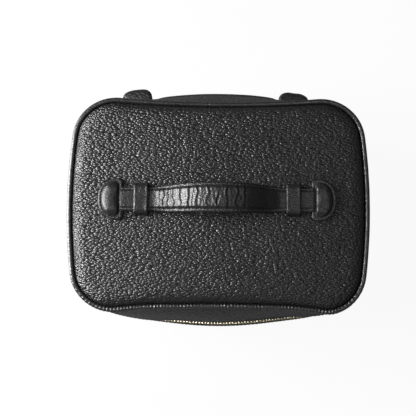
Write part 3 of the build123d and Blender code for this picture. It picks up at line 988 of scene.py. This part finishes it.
# %% [markdown]
# Each head is a D of leather with a thin stitched rim and a padded middle. Its outline is
# a straight side and a round end, and rings shrink from it to the middle. It is a padded
# piece, and it rides on the body that slips outwards when the grip goes down.

# %% Heads of the strap
HEAD_RIM = mm(2.4)
RIM_WIDTH = mm(2.6)
ROUND_STEPS = 44
FLAT_STEPS = 16
ROUND_POWER = 0.86
# How far each ring is drawn in, and its height over the head's foot or over its rim, in mm
HEAD_FOOT_RINGS = ((0.5, 0.1), (0.1, 0.5), (0.0, 1.3))
HEAD_TOP_RINGS = (
    (0.25, -0.2), (0.8, 0.0), (2.0, -0.05), (2.5, -0.35), (2.9, 0.1), (3.5, 1.0), (4.4, 1.6),
    (5.6, 2.0), (7.0, 2.25), (8.6, 2.4), (10.5, 2.45),
)


def d_outline(shrink):
    """The D, drawn in by shrink, counted from its flat side at zero outwards."""
    inner = max(shrink - RIM_WIDTH, 0.0)
    half = HEAD_WIDTH / 2 - shrink
    flat = shrink if shrink < RIM_WIDTH else RIM_WIDTH + inner * 0.45
    tip = HEAD_LENGTH - shrink
    soft = max(min(mm(2.0) + inner * 1.1, half * 0.8, tip - flat), mm(0.3))
    points = []
    for k in range(ROUND_STEPS):
        angle = -math.pi / 2 + math.pi * k / (ROUND_STEPS - 1)
        c, s = [math.copysign(abs(v) ** ROUND_POWER, v) for v in (math.cos(angle), math.sin(angle))]
        points.append((flat + soft + (tip - flat - soft) * c, half * s))
    for k in range(1, FLAT_STEPS):
        y = half * (1 - 2 * k / FLAT_STEPS)
        x = flat
        from_end = half - abs(y)
        if from_end < soft:
            x = flat + soft - math.sqrt(max(soft ** 2 - (soft - from_end) ** 2, 0.0))
        points.append((x, y))
    return points


def head_dent(x, y, place_x, shrink):
    """Small dents of the padding, and a dip between two bulges beside the neck."""
    dent = mm(0.35) * ripple(place_x, y, 0.0, 0.006, 13.0) if shrink > RIM_WIDTH else 0.0
    if shrink > mm(3.2):
        near_neck = math.exp(-((x - mm(4.2)) / mm(2.6)) ** 2)
        bulges = math.exp(-((abs(y) - mm(7.5)) / mm(2.6)) ** 2)
        dip = math.exp(-(y / mm(4.5)) ** 2)
        dent += near_neck * (mm(0.8) * bulges - mm(0.9) * dip)
    return dent


def head(side, name):
    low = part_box(f"handle_end_{name}")[0].z
    profile = [(mm(inward), low + mm(up)) for inward, up in HEAD_FOOT_RINGS]
    profile += [(mm(inward), low + HEAD_RIM + mm(up)) for inward, up in HEAD_TOP_RINGS]
    rows = []
    for shrink, z in profile:
        row = []
        for x, y in d_outline(shrink):
            place_x = HANDLE_X + side * (HEAD_FLAT + x)
            row.append((place_x, HANDLE_Y + y, z + head_dent(x, y, place_x, shrink)))
        rows.append(row)
    obj = rows_mesh(f"head_{name}", rows, f"handle_end_{name}", closed_rows=False)
    dress(obj, patch_leather, "handle_leather", f"handle_end_{name}")
    return low + HEAD_RIM


print("points round a head:", len(d_outline(0.0)))

# %% [markdown]
# The keepers hold the strap down and let it slide. Each is a loop of leather: a flat
# crest, two sloping shoulders and short legs that go down to the lid. A smooth line is
# drawn through a few points of that path, and a thin section follows it.

# %% Keepers
KEEPER_T = mm(1.7)
KEEPER_SPARE = mm(0.6)
KEEPER_SHIFT = mm(0.3)


def smooth_path(path, steps):
    """A Catmull-Rom line through the points of a path."""
    ends = [path[0]] + path + [path[-1]]
    found = []
    for k in range(1, len(ends) - 2):
        p0, p1, p2, p3 = [Vector(p) for p in ends[k - 1:k + 3]]
        for n in range(steps):
            t = n / steps
            found.append(0.5 * (
                2 * p1 + (p2 - p0) * t + (2 * p0 - 5 * p1 + 4 * p2 - p3) * t ** 2
                + (3 * p1 - p0 - 3 * p2 + p3) * t ** 3
            ))
    return found + [Vector(path[-1])]


def keeper_section(half_wide):
    """Across and depth: a strip with rounded, slightly raised edges."""
    points = []
    for k in range(13):
        t = k / 12 * 2 - 1
        points.append((t * half_wide, mm(0.9) * max(0.0, (abs(t) - 0.8) / 0.2) ** 2))
    return points + [(half_wide * part, KEEPER_T) for part in (0.97, 0.0, -0.97)]


def keeper(side, name):
    low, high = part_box(f"keeper_{name}")
    middle = (low.y + high.y) / 2
    half = (high.y - low.y) / 2
    roof = high.z
    foot = crown_at(abs(high.x + low.x) / 2, middle)
    path = [
        (-half - mm(0.2), foot - mm(1.0)), (-half, foot + mm(0.6)),
        (-half + mm(0.5), foot + mm(2.4)), (-half + mm(1.6), roof - mm(1.3)),
        (-half + mm(3.2), roof - mm(0.35)), (-half + mm(5.5), roof),
    ]
    path += [(-y, z) for y, z in reversed(path)]
    half_wide = (high.x - low.x) / 2 + KEEPER_SPARE
    centre_x = (high.x + low.x) / 2 - side * KEEPER_SHIFT
    curve = smooth_path(path, 8)
    rows = []
    for k, place in enumerate(curve):
        tangent = (curve[min(k + 1, len(curve) - 1)] - curve[max(k - 1, 0)]).normalized()
        row = []
        for across, depth in keeper_section(half_wide):
            if depth < mm(1.0):
                depth -= mm(0.3) * ripple(centre_x + across, place.x, place.y, 0.005, 31.0)
                edge = (abs(across) - half_wide * 0.84) / mm(0.8)
                depth -= mm(0.3) * math.exp(-edge ** 2)
            row.append((centre_x + across, middle + place.x + tangent.y * depth,
                        place.y - tangent.x * depth))
        rows.append(row)
    obj = rows_mesh(f"keeper_loop_{name}", rows, "lid", closed_rows=False)
    dress(obj, handle_leather, "case_leather", f"keeper_{name}")


for side, name in [(-1, "left"), (1, "right")]:
    head_rim = head(side, name)
    keeper(side, name)
print("height of the heads' rims, mm:", round(1000 * head_rim, 1))


# %% [markdown]
# Zip teeth and stitches repeat hundreds of times, so two Geometry Nodes trees make them.
# One puts a small shape on every point of a mesh, turned by an angle kept on the point.
# The other walks along a line and lays a stitch at even steps, turned to its heading.

# %% Helpers for Geometry Nodes trees
def geometry_tree(name, sockets):
    return new_group("GeometryNodeTree", name, [("Geometry", "Geometry", None), *sockets],
                     [("Geometry", "Geometry")])


def finish_tree(tree, given, points, shape, turn, size):
    """Puts the shape on the points, makes it real and gives it the tree's material."""
    placed = add_node(tree, "GeometryNodeInstanceOnPoints", {
        "Points": points, "Instance": shape, "Rotation": turn, "Scale": size,
    })
    real = add_node(tree, "GeometryNodeRealizeInstances", {0: placed.outputs[0]})
    painted = add_node(tree, "GeometryNodeSetMaterial", {
        "Geometry": real.outputs[0], "Material": given["Material"],
    })
    add_node(tree, "NodeGroupOutput", {0: painted.outputs[0]})
    return tree


print("each tree ends by making its copies real and giving them a material")


# %% Trees for teeth and stitches
def tooth_tree():
    tree, given = geometry_tree("zip_teeth", [
        ("Shape", "Object", None), ("Size", "Float", 1.0), ("Material", "Material", None),
    ])
    shape = add_node(tree, "GeometryNodeObjectInfo", {"Object": given["Shape"]})
    turn = add_node(
        tree, "GeometryNodeInputNamedAttribute", {"Name": "turn"}, data_type="FLOAT_VECTOR"
    )
    return finish_tree(tree, given, given["Geometry"], shape.outputs["Geometry"],
                       turn.outputs["Attribute"], given["Size"])


def stitch_tree():
    tree, given = geometry_tree("stitches", [
        ("Pitch", "Float", mm(3.0)), ("Length", "Float", mm(2.1)),
        ("Radius", "Float", mm(0.3)), ("Material", "Material", None),
    ])
    line = add_node(tree, "GeometryNodeMeshToCurve", {0: given["Geometry"]})
    even = add_node(
        tree, "GeometryNodeResampleCurve", {"Curve": line.outputs[0], "Length": given["Pitch"]},
        mode="LENGTH",
    )
    ball = add_node(
        tree, "GeometryNodeMeshUVSphere", {"Segments": 8, "Rings": 6, "Radius": 1.0}
    )
    size = add_node(tree, "ShaderNodeCombineXYZ", {
        "X": given["Radius"], "Y": given["Radius"],
        "Z": maths(tree, "MULTIPLY", given["Length"], 0.5),
    })
    tangent = add_node(tree, "GeometryNodeInputTangent")
    align = add_node(
        tree, "FunctionNodeAlignEulerToVector", {"Vector": tangent.outputs[0]}, axis="Z"
    )
    return finish_tree(tree, given, even.outputs[0], ball.outputs["Mesh"], align.outputs[0],
                       size.outputs[0])


def run_tree(obj, tree, **values):
    """Runs a tree on an object and leaves a plain mesh in its place."""
    modifier = obj.modifiers.new("nodes", "NODES")
    modifier.node_group = tree
    for item in tree.interface.items_tree:
        if item.item_type == "SOCKET" and item.in_out == "INPUT" and item.name in values:
            modifier[item.identifier] = values[item.name]
    obj.data.update()
    depsgraph = bpy.context.evaluated_depsgraph_get()
    depsgraph.update()
    mesh = bpy.data.meshes.new_from_object(obj.evaluated_get(depsgraph))
    obj.modifiers.clear()
    obj.data = mesh
    shade_smooth(mesh)
    return obj


TEETH = tooth_tree()
STITCHES = stitch_tree()
print("trees:", TEETH.name, STITCHES.name)


# %% [markdown]
# A metal tooth is a jaw crimped on the tape with a narrower head that reaches between its
# two neighbours. Lower teeth ride on the body and upper ones on the lid, but beside the
# hinge, where the zip lies on the hinge line, both rows stay with the body.

# %% Zip teeth
TOOTH_PITCH = mm(2.3)
TOOTH_REACH = mm(0.5)
TOOTH_LENGTH = mm(2.9)
TEETH_FROM = mm(46.0)
ZIP_INSET = SKIN + LEATHER + mm(0.35)
# Share of the tooth's length, then its half width and half thickness there, in mm
TOOTH_PROFILE = ((-0.5, 0.52, 0.80), (-0.44, 0.62, 0.92), (-0.1, 0.62, 0.92), (0.05, 0.52, 0.80),
                 (0.12, 0.42, 0.62), (0.30, 0.44, 0.66), (0.44, 0.36, 0.56), (0.5, 0.22, 0.36))
EIGHT_CORNERS = ((1, .6), (.6, 1), (-.6, 1), (-1, .6), (-1, -.6), (-.6, -1), (.6, -1), (1, -.6))


def tooth_shape():
    """One tooth, standing on its jaw, with its head at the top, at the origin."""
    rows = [[(mm(half_along) * a, mm(half_thick) * b, TOOTH_LENGTH * up)
             for a, b in EIGHT_CORNERS] for up, half_along, half_thick in TOOTH_PROFILE]
    obj = rows_mesh("tooth_shape", rows, closed_rows=False)
    bpy.context.scene.collection.objects.unlink(obj)
    return obj


def tooth_row(name, places, body, replaced, low):
    side = 1 if low else -1
    flip = 0.0 if low else math.pi
    z = ZIP_Z + side * (TOOTH_REACH - TOOTH_LENGTH / 2)
    obj = add_object(name, [(place.x, place.y, z) for place, _ in places], [])
    attribute = obj.data.attributes.new("turn", "FLOAT_VECTOR", "POINT")
    for item, (_, heading) in zip(attribute.data, places):
        item.vector = (flip, 0.0, math.atan2(heading.y, heading.x))
    run_tree(obj, TEETH, Shape=tooth, Size=1.0, Material=zip_metal)
    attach(obj, body)
    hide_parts(replaced)
    print(name, len(places), "teeth")


tooth = tooth_shape()
line = outline(ZIP_Z, ZIP_INSET)
length = sum((b - a).length for a, b in zip(line, line[1:] + line[:1]))
stations = resample(line, length / (2 * round(length / TOOTH_PITCH)))
lower, upper, tails = [], [], []
for k, station in enumerate(stations):
    place = station[0]
    if place.y > 0 and abs(place.x) < TEETH_FROM:
        continue
    if k % 2 == 0:
        lower.append(station)
    elif place.y > 0 and abs(place.x) < UPPER_TAPE_END:
        tails.append(station)
    else:
        upper.append(station)
tooth_row("teeth_lower", lower, "case_body", "zip_teeth_lower", True)
tooth_row("teeth_upper", upper, "lid", "zip_teeth_upper", False)
tooth_row("teeth_tails", tails, "case_body", "zip_teeth_tails", False)


# %% [markdown]
# Thread shows wherever leather is sewn: beside the zip on both halves, down the two seams
# of the body's back, along the strap's edges and round its heads. Each line of stitches
# rides on the leather that it holds.

# %% Stitches
SEW_IN = mm(2.4)
THREAD_INSET = SKIN - mm(0.05)
SEAM_X = mm(76.0)
SEAM_POINTS = 40
STRAP_POINTS = 120


def stitch_line(name, points, body, pitch=mm(3.0), length=mm(2.2), radius=mm(0.28), closed=False):
    count = len(points)
    edges = [(k, (k + 1) % count) for k in range(count if closed else count - 1)]
    obj = add_object(name, points, [], edges)
    run_tree(obj, STITCHES, Pitch=pitch, Length=length, Radius=radius, Material=thread)
    if body:
        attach(obj, body)
    return obj


def wall_line(z):
    return [(p.x, p.y, z) for p in outline(z, THREAD_INSET)]


def seam(side):
    """The upright seam in the body wall, beside the hinge."""
    points = []
    for k in range(SEAM_POINTS):
        z = mm(9.0) + (RIM_LOW - mm(14.0)) * k / (SEAM_POINTS - 1)
        ring = [p for p in outline(z, THREAD_INSET) if p.y > 0]
        near = min(ring, key=lambda p: abs(p.x - side * SEAM_X))
        points.append((near.x, near.y, z))
    stitch_line(f"stitches_seam_{side + 1}", points, "case_body")


def strap_stitches(side, edge, side_name, edge_name):
    points = []
    for k in range(STRAP_POINTS):
        s = side * STRAP_HALF * k / (STRAP_POINTS - 1)
        x = strap_place(s)[0]
        across = edge * (strap_half_width(x) - mm(1.7))
        points.append(strap_point(s, across, 0.62 * strap_half_thick(x) + mm(0.05)))
    name = f"stitches_strap_{side_name}_{edge_name}"
    blend_strap(stitch_line(name, points, None, mm(2.6), mm(1.9), mm(0.26)))


stitch_line("stitches_body_rim", wall_line(RIM_LOW - SEW_IN), "case_body", closed=True)
stitch_line("stitches_lid_rim", wall_line(RIM_HIGH + SEW_IN), "lid", closed=True)
seam(-1)
seam(1)
for side, name in [(-1, "left"), (1, "right")]:
    strap_stitches(side, -1, name, "front")
    strap_stitches(side, 1, name, "back")
    ring = [(HANDLE_X + side * (HEAD_FLAT + x), HANDLE_Y + y, head_rim + mm(0.02))
            for x, y in d_outline(mm(1.4))]
    stitch_line(f"stitches_head_{name}", ring, f"handle_end_{name}", mm(2.5), mm(1.8),
                mm(0.24), True)

# %% [markdown]
# The hinge is one strip of hide across the back. It is sewn to the body below the hinge
# line and to the lid above it. Its face is lower at the hinge line, where the hide is thin
# enough to fold.

# %% Hinge strip
HINGE_LEFT = mm(46.5)
HINGE_RIGHT = mm(43.5)
HINGE_REACH = mm(11.5)
HINGE_T = mm(1.35)
HINGE_STEPS = 60
# Share of the strip's reach up or down, and how proud its face is there
HINGE_SECTION = (
    (-1.0, 0.0), (-0.97, 0.75), (-0.8, 1.0), (-0.5, 1.0), (-0.25, 0.9), (-0.08, 0.55),
    (0.08, 0.55), (0.25, 0.9), (0.5, 1.0), (0.8, 1.0), (0.97, 0.75), (1.0, 0.0), (0.5, -0.2),
    (0.0, -0.2), (-0.5, -0.2),
)


def line_y(line, x):
    """The y at one x of a line of (x, y) points that are sorted by x."""
    at = next(n for n in range(1, len(line)) if line[n][0] >= x)
    (x0, y0), (x1, y1) = line[at - 1], line[at]
    return y0 + (y1 - y0) * (x - x0) / (x1 - x0)


def hinge_strip():
    rows = []
    for share, proud in HINGE_SECTION:
        level = ZIP_Z + share * HINGE_REACH
        ring = sorted((p.x, p.y) for p in outline(level, SKIN)
                      if p.y > 0 and abs(p.x) < HINGE_LEFT + mm(4.0))
        row = []
        for k in range(HINGE_STEPS + 1):
            x = -HINGE_LEFT + (HINGE_LEFT + HINGE_RIGHT) * k / HINGE_STEPS
            end = HINGE_LEFT if x < 0 else HINGE_RIGHT
            taper = math.sqrt(max(1 - (abs(x) / end) ** 10, 0.0))
            wave = mm(0.12) * ripple(x, level, 0.0, 0.012, 61.0) if proud > 0 else 0.0
            row.append((x, line_y(ring, x) + HINGE_T * proud * taper + wave, level))
        rows.append(row)
    return rows_mesh("hinge_strip", rows, round_rows=False)


strip = hinge_strip()
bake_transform(strip)
dress(strip, trim_leather, "case_leather", "hinge_lower_leaf", "hinge_upper_leaf")
print("width of the hinge strip, mm:", round(1000 * (HINGE_LEFT + HINGE_RIGHT), 1))

# %% [markdown]
# The tabs over the zip's ends are folded hide: a rounded lump with a flat foot. A ring of
# points swells and shrinks along each tab, and the lump leans towards the hinge or away.

# %% End tabs
TAB_REACH = mm(1.6)
TAB_STEPS = 28
TAB_SIDES = 20


def end_tab(node, name, nose, grow):
    """A folded lump over one end of the zip; nose says which way it leans, and how far."""
    low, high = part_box(node)
    middle_x = (low.x + high.x) / 2 - nose * grow * 0.8
    half = (high.x - low.x + grow * 0.6) / 2
    top = high.z - mm(0.1)
    bottom = low.z + mm(0.1)
    foot = low.y - mm(0.5)
    rows = []
    for k in range(TAB_STEPS + 1):
        t = k / TAB_STEPS * 2 - 1
        x = middle_x + t * half
        bulge = math.sqrt(max(1 - abs(t) ** 3.2, 0.0))
        half_z = (top - bottom) / 2 * (0.72 + 0.28 * bulge)
        reach = (high.y + TAB_REACH - foot) * (0.5 + 0.5 * bulge) + mm(1.4) * nose * t * bulge
        row = []
        for s in range(TAB_SIDES):
            angle = math.pi * 2 * s / TAB_SIDES
            up = math.copysign(abs(math.sin(angle)) ** 0.7, math.sin(angle))
            y = foot + reach * (0.5 + 0.5 * math.cos(angle))
            z = (top + bottom) / 2 + half_z * up
            row.append((x, y + mm(0.3) * ripple(x, y, z, 0.006, 17.0), z))
        rows.append(row)
    obj = rows_mesh(name, rows, "case_body", closed_rows=False)
    dress(obj, trim_leather, "case_leather", node)


end_tab("zip_end_tab_left", "tab_left", 1.0, mm(4.0))
end_tab("zip_end_tab_right", "tab_right", -0.8, mm(2.5))


# %% [markdown]
# The base is hide stretched over board, with a piped seam round it. The linings of the
# floor and of the lid, and the lid's board, are thin flat pieces too. Each is a stack of
# rings that shrink to its middle on one side and grow from it on the other.

# %% Base and flat pieces
RING_PARTS = (1.0, 0.97, 0.9, 0.8, 0.65, 0.5, 0.35, 0.2, 0.08)


def flat_piece(name, body, z_outline, inset, low, high):
    edge = outline(z_outline, inset)[::2]
    soft = min((high - low) * 0.45, mm(0.5))
    rows = [[(p.x * part, p.y * part, low) for p in edge] for part in reversed(RING_PARTS)]
    rows += [[(p.x, p.y, z) for p in edge] for z in (low + soft, high - soft)]
    for part in RING_PARTS:
        rows.append([(p.x * part * 0.995, p.y * part * 0.995,
                      high + mm(0.15) * ripple(p.x * part, p.y * part, 0, 0.03, 71.0))
                     for p in edge])
    return rows_mesh(name, rows, body, closed_rows=False)


flat_pieces = [
    ("base_skin", "case_body", WALL_START, mm(3.9), 0.0, mm(1.4),
     case_leather, "case_leather", "base_leather"),
    ("floor_cloth", "case_body", WALL_START, mm(5.0), mm(4.4), mm(5.2),
     lining_cloth, "lining", "base_lining"),
    ("roof_board", "lid", EDGE_Z, mm(6.4), mm(146.1), mm(148.4),
     board_fibre, "board", "lid_top_board"),
    ("roof_cloth", "lid", EDGE_Z, mm(5.7), mm(145.2), mm(146.0),
     lining_cloth, "lining", "lid_top_lining"),
]
for *shape, material, slot, node in flat_pieces:
    dress(flat_piece(*shape), material, slot, node)
dress(base_cord(), piping_leather, "piping", "base_piping")
print("flat pieces:", [row[0] for row in flat_pieces])

# %% [markdown]
# Inside, each long wall has a cloth pocket with an elastic top that gathers it. The
# pocket's section stands off the lining, and it is drawn back to the wall at the two sewn
# ends. Fine folds run down from the elastic and fade out half way.

# %% Pockets
POCKET_HALF = mm(61.5)
POCKET_STEPS = 120
# Distance from the lining and height, in mm: up the cloth's face and down its back
CLOTH_SECTION = ((0.3, 16.2), (3.5, 15.8), (7.0, 17.5), (8.6, 22.0), (8.9, 35.0), (8.9, 58.0),
                 (8.6, 68.0), (8.2, 73.0), (7.2, 73.0), (7.6, 67.0), (7.9, 57.0), (7.9, 35.0),
                 (7.5, 23.0), (6.0, 18.8), (3.0, 17.2), (0.3, 17.2))
BAND_SECTION = ((8.1, 72.8), (8.7, 74.0), (8.5, 75.3), (8.7, 76.6), (8.2, 77.9), (7.4, 77.6),
                (7.0, 76.5), (7.2, 75.0), (7.0, 73.5), (7.3, 72.8))


def pocket(name, side, section, gather, pitch):
    walls = [sorted((p.x, p.y) for p in outline(mm(z), LINING_BACK)
                    if p.y * side > 0 and abs(p.x) < POCKET_HALF + mm(10.5))
             for _, z in section]
    rows = []
    for k in range(POCKET_STEPS + 1):
        x = POCKET_HALF * (k / POCKET_STEPS * 2 - 1)
        sewn = max(1 - (abs(x) / (POCKET_HALF + mm(0.5))) ** 14, 0.05)
        row = []
        for wall, (depth, z) in zip(walls, section):
            fold = gather * math.sin(2 * math.pi * x / pitch) * ease((z - 35.0) / 35.0)
            fold += gather * 0.6 * ripple(x, mm(z), 0.0, 0.012, 51.0)
            row.append((x, line_y(wall, x) - side * (mm(depth) + fold) * sewn, mm(z)))
        rows.append(row)
    return rows_mesh(name, rows, "case_body", closed_rows=False)


for side, name in [(-1, "front"), (1, "back")]:
    cloth = pocket(f"pocket_cloth_{name}", side, CLOTH_SECTION, mm(0.35), mm(5.5))
    dress(cloth, lining_cloth, "lining", f"pocket_{name}")
    top = pocket(f"pocket_band_{name}", side, BAND_SECTION, mm(0.22), mm(2.6))
    dress(top, elastic_cloth, "elastic", f"pocket_{name}_elastic")
print("gathers along a pocket:", round(2 * POCKET_HALF / mm(5.5)))


# %% [markdown]
# The lid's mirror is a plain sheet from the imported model. A frame of leather rolled over a
# core holds it, so its section is round and its corners are drawn as quarter circles.

# %% Mirror frame
FRAME_CORNER = mm(16.0)
FRAME_RIM = mm(5.0)
FRAME_STEPS = 64
# Share of the rim's width inwards, and of its thickness downwards
FRAME_SECTION = ((0.05, 0.0), (0.0, 0.5), (0.12, 0.85), (0.3, 1.0), (0.5, 1.06), (0.7, 1.0),
                 (0.88, 0.85), (1.0, 0.5), (0.98, 0.2))


def mirror_rim():
    low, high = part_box("mirror_frame")
    middle = (low + high) / 2
    rows = []
    for inward, down in FRAME_SECTION:
        half_x = (high.x - low.x) / 2 - inward * FRAME_RIM
        half_y = (high.y - low.y) / 2 - inward * FRAME_RIM
        radius = FRAME_CORNER - inward * FRAME_RIM
        row = []
        for step in range(FRAME_STEPS):
            angle = 2 * math.pi * (step + 0.5) / FRAME_STEPS
            c = math.cos(angle)
            s = math.sin(angle)
            row.append((middle.x + math.copysign(half_x - radius, c) + radius * c,
                        middle.y + math.copysign(half_y - radius, s) + radius * s,
                        high.z - down * (high.z - low.z)))
        rows.append(row)
    return rows_mesh("mirror_rim", rows, "lid")


rim = dress(mirror_rim(), trim_leather, "mirror_rim", "mirror_frame")
print("faces of the mirror's frame:", len(rim.data.polygons))

# %% [markdown]
# The stage is a white floor. A low window and a lamp on the left give the bright edge that
# the photograph shows there, and two weaker lamps fill the rest. The camera sees the floor
# nearly white and gloss sees it dimmed, and it still darkens under the case.

# %% Floor, light and world
FLOOR_HALF = 12.0
FLOOR_GREY = (0.4, 0.4, 0.4, 1.0)
CAMERA_SHARE = 0.93
GLOSS_SHARE = 0.6
GLOSS_DIMMED = 0.18
WORLD_STRENGTH = 0.17
CASE_MIDDLE = Vector((0.0, 0.0, 0.12))


def floor_material():
    material, tree, shader = new_material("floor_white")
    fill(tree, shader, {"Base Color": FLOOR_GREY, "Roughness": 0.9})
    path = add_node(tree, "ShaderNodeLightPath").outputs
    mirrored = maths(tree, "ADD", path["Is Glossy Ray"], path["Is Transmission Ray"])
    dimmed = maths(tree, "MULTIPLY", mirrored, GLOSS_DIMMED)
    glow = add_node(tree, "ShaderNodeEmission", {
        "Strength": maths(tree, "ADD", path["Is Camera Ray"], dimmed),
    })
    plainly = maths(tree, "MULTIPLY", path["Is Camera Ray"], CAMERA_SHARE)
    in_gloss = maths(tree, "MULTIPLY", mirrored, GLOSS_SHARE)
    mix = add_node(tree, "ShaderNodeMixShader", {
        "Fac": maths(tree, "ADD", plainly, in_gloss, clamp=True),
        1: shader.outputs[0], 2: glow.outputs[0],
    })
    fill(tree, tree.nodes["Material Output"], {"Surface": mix.outputs[0]})
    return material


def lamp(name, place, wide, high, watts):
    light = bpy.data.lights.new(name, "AREA")
    light.shape = "RECTANGLE"
    light.size = wide
    light.size_y = high
    light.energy = watts
    obj = bpy.data.objects.new(name, light)
    obj.location = place
    obj.rotation_euler = (CASE_MIDDLE - Vector(place)).to_track_quat("-Z", "Y").to_euler()
    obj.visible_camera = False
    bpy.context.scene.collection.objects.link(obj)


corners = [(-1, -1), (1, -1), (1, 1), (-1, 1)]
floor_corners = [(x * FLOOR_HALF, y * FLOOR_HALF, 0.0) for x, y in corners]
floor = add_object("floor", floor_corners, [(0, 1, 2, 3)])
place_material(floor, floor_material())
lamp("key_left", (-0.44, 0.08, 0.52), 0.3, 0.5, 4.6)
lamp("window_left", (-0.75, 0.05, 0.3), 0.4, 0.8, 28.0)
lamp("fill_top", (0.25, -0.1, 1.25), 0.5, 0.5, 2.3)
lamp("fill_front", (0.1, -1.1, 0.6), 0.6, 0.6, 1.0)
world = bpy.data.worlds.new("studio")
bpy.context.scene.world = world
world.use_nodes = True
backdrop = world.node_tree.nodes["Background"]
fill(world.node_tree, backdrop, {"Color": (1.0, 1.0, 1.0, 1.0), "Strength": WORLD_STRENGTH})
print("lamps:", [light.name for light in bpy.data.lights])

# %% [markdown]
# The camera looks almost straight down, a little from the front. Its distance and lens
# come from the photograph: 300 mm of the lid's level fill the frame's width.

# %% Camera
CAMERA_DISTANCE = 0.6
CAMERA_ELEVATION = math.radians(85.0)
CAMERA_ROLL = math.radians(0.4)
FRAME_WIDTH = mm(300.0)
SENSOR_WIDTH = 36.0
AIM = Vector((mm(-7.5), mm(-1.8), mm(150.0)))
camera_data = bpy.data.cameras.new("camera")
camera_data.sensor_width = SENSOR_WIDTH
camera_data.lens = SENSOR_WIDTH * CAMERA_DISTANCE / FRAME_WIDTH
camera = bpy.data.objects.new("camera", camera_data)
back = Vector((0.0, -math.cos(CAMERA_ELEVATION), math.sin(CAMERA_ELEVATION)))
camera.location = AIM + back * CAMERA_DISTANCE
looking = (-back).to_track_quat("-Z", "Y").to_matrix()
camera.rotation_euler = (looking @ Matrix.Rotation(CAMERA_ROLL, 3, "Z")).to_euler()
bpy.context.scene.collection.objects.link(camera)
bpy.context.scene.camera = camera
bpy.context.scene.view_settings.view_transform = "Standard"
print("lens, mm:", round(camera_data.lens, 1))
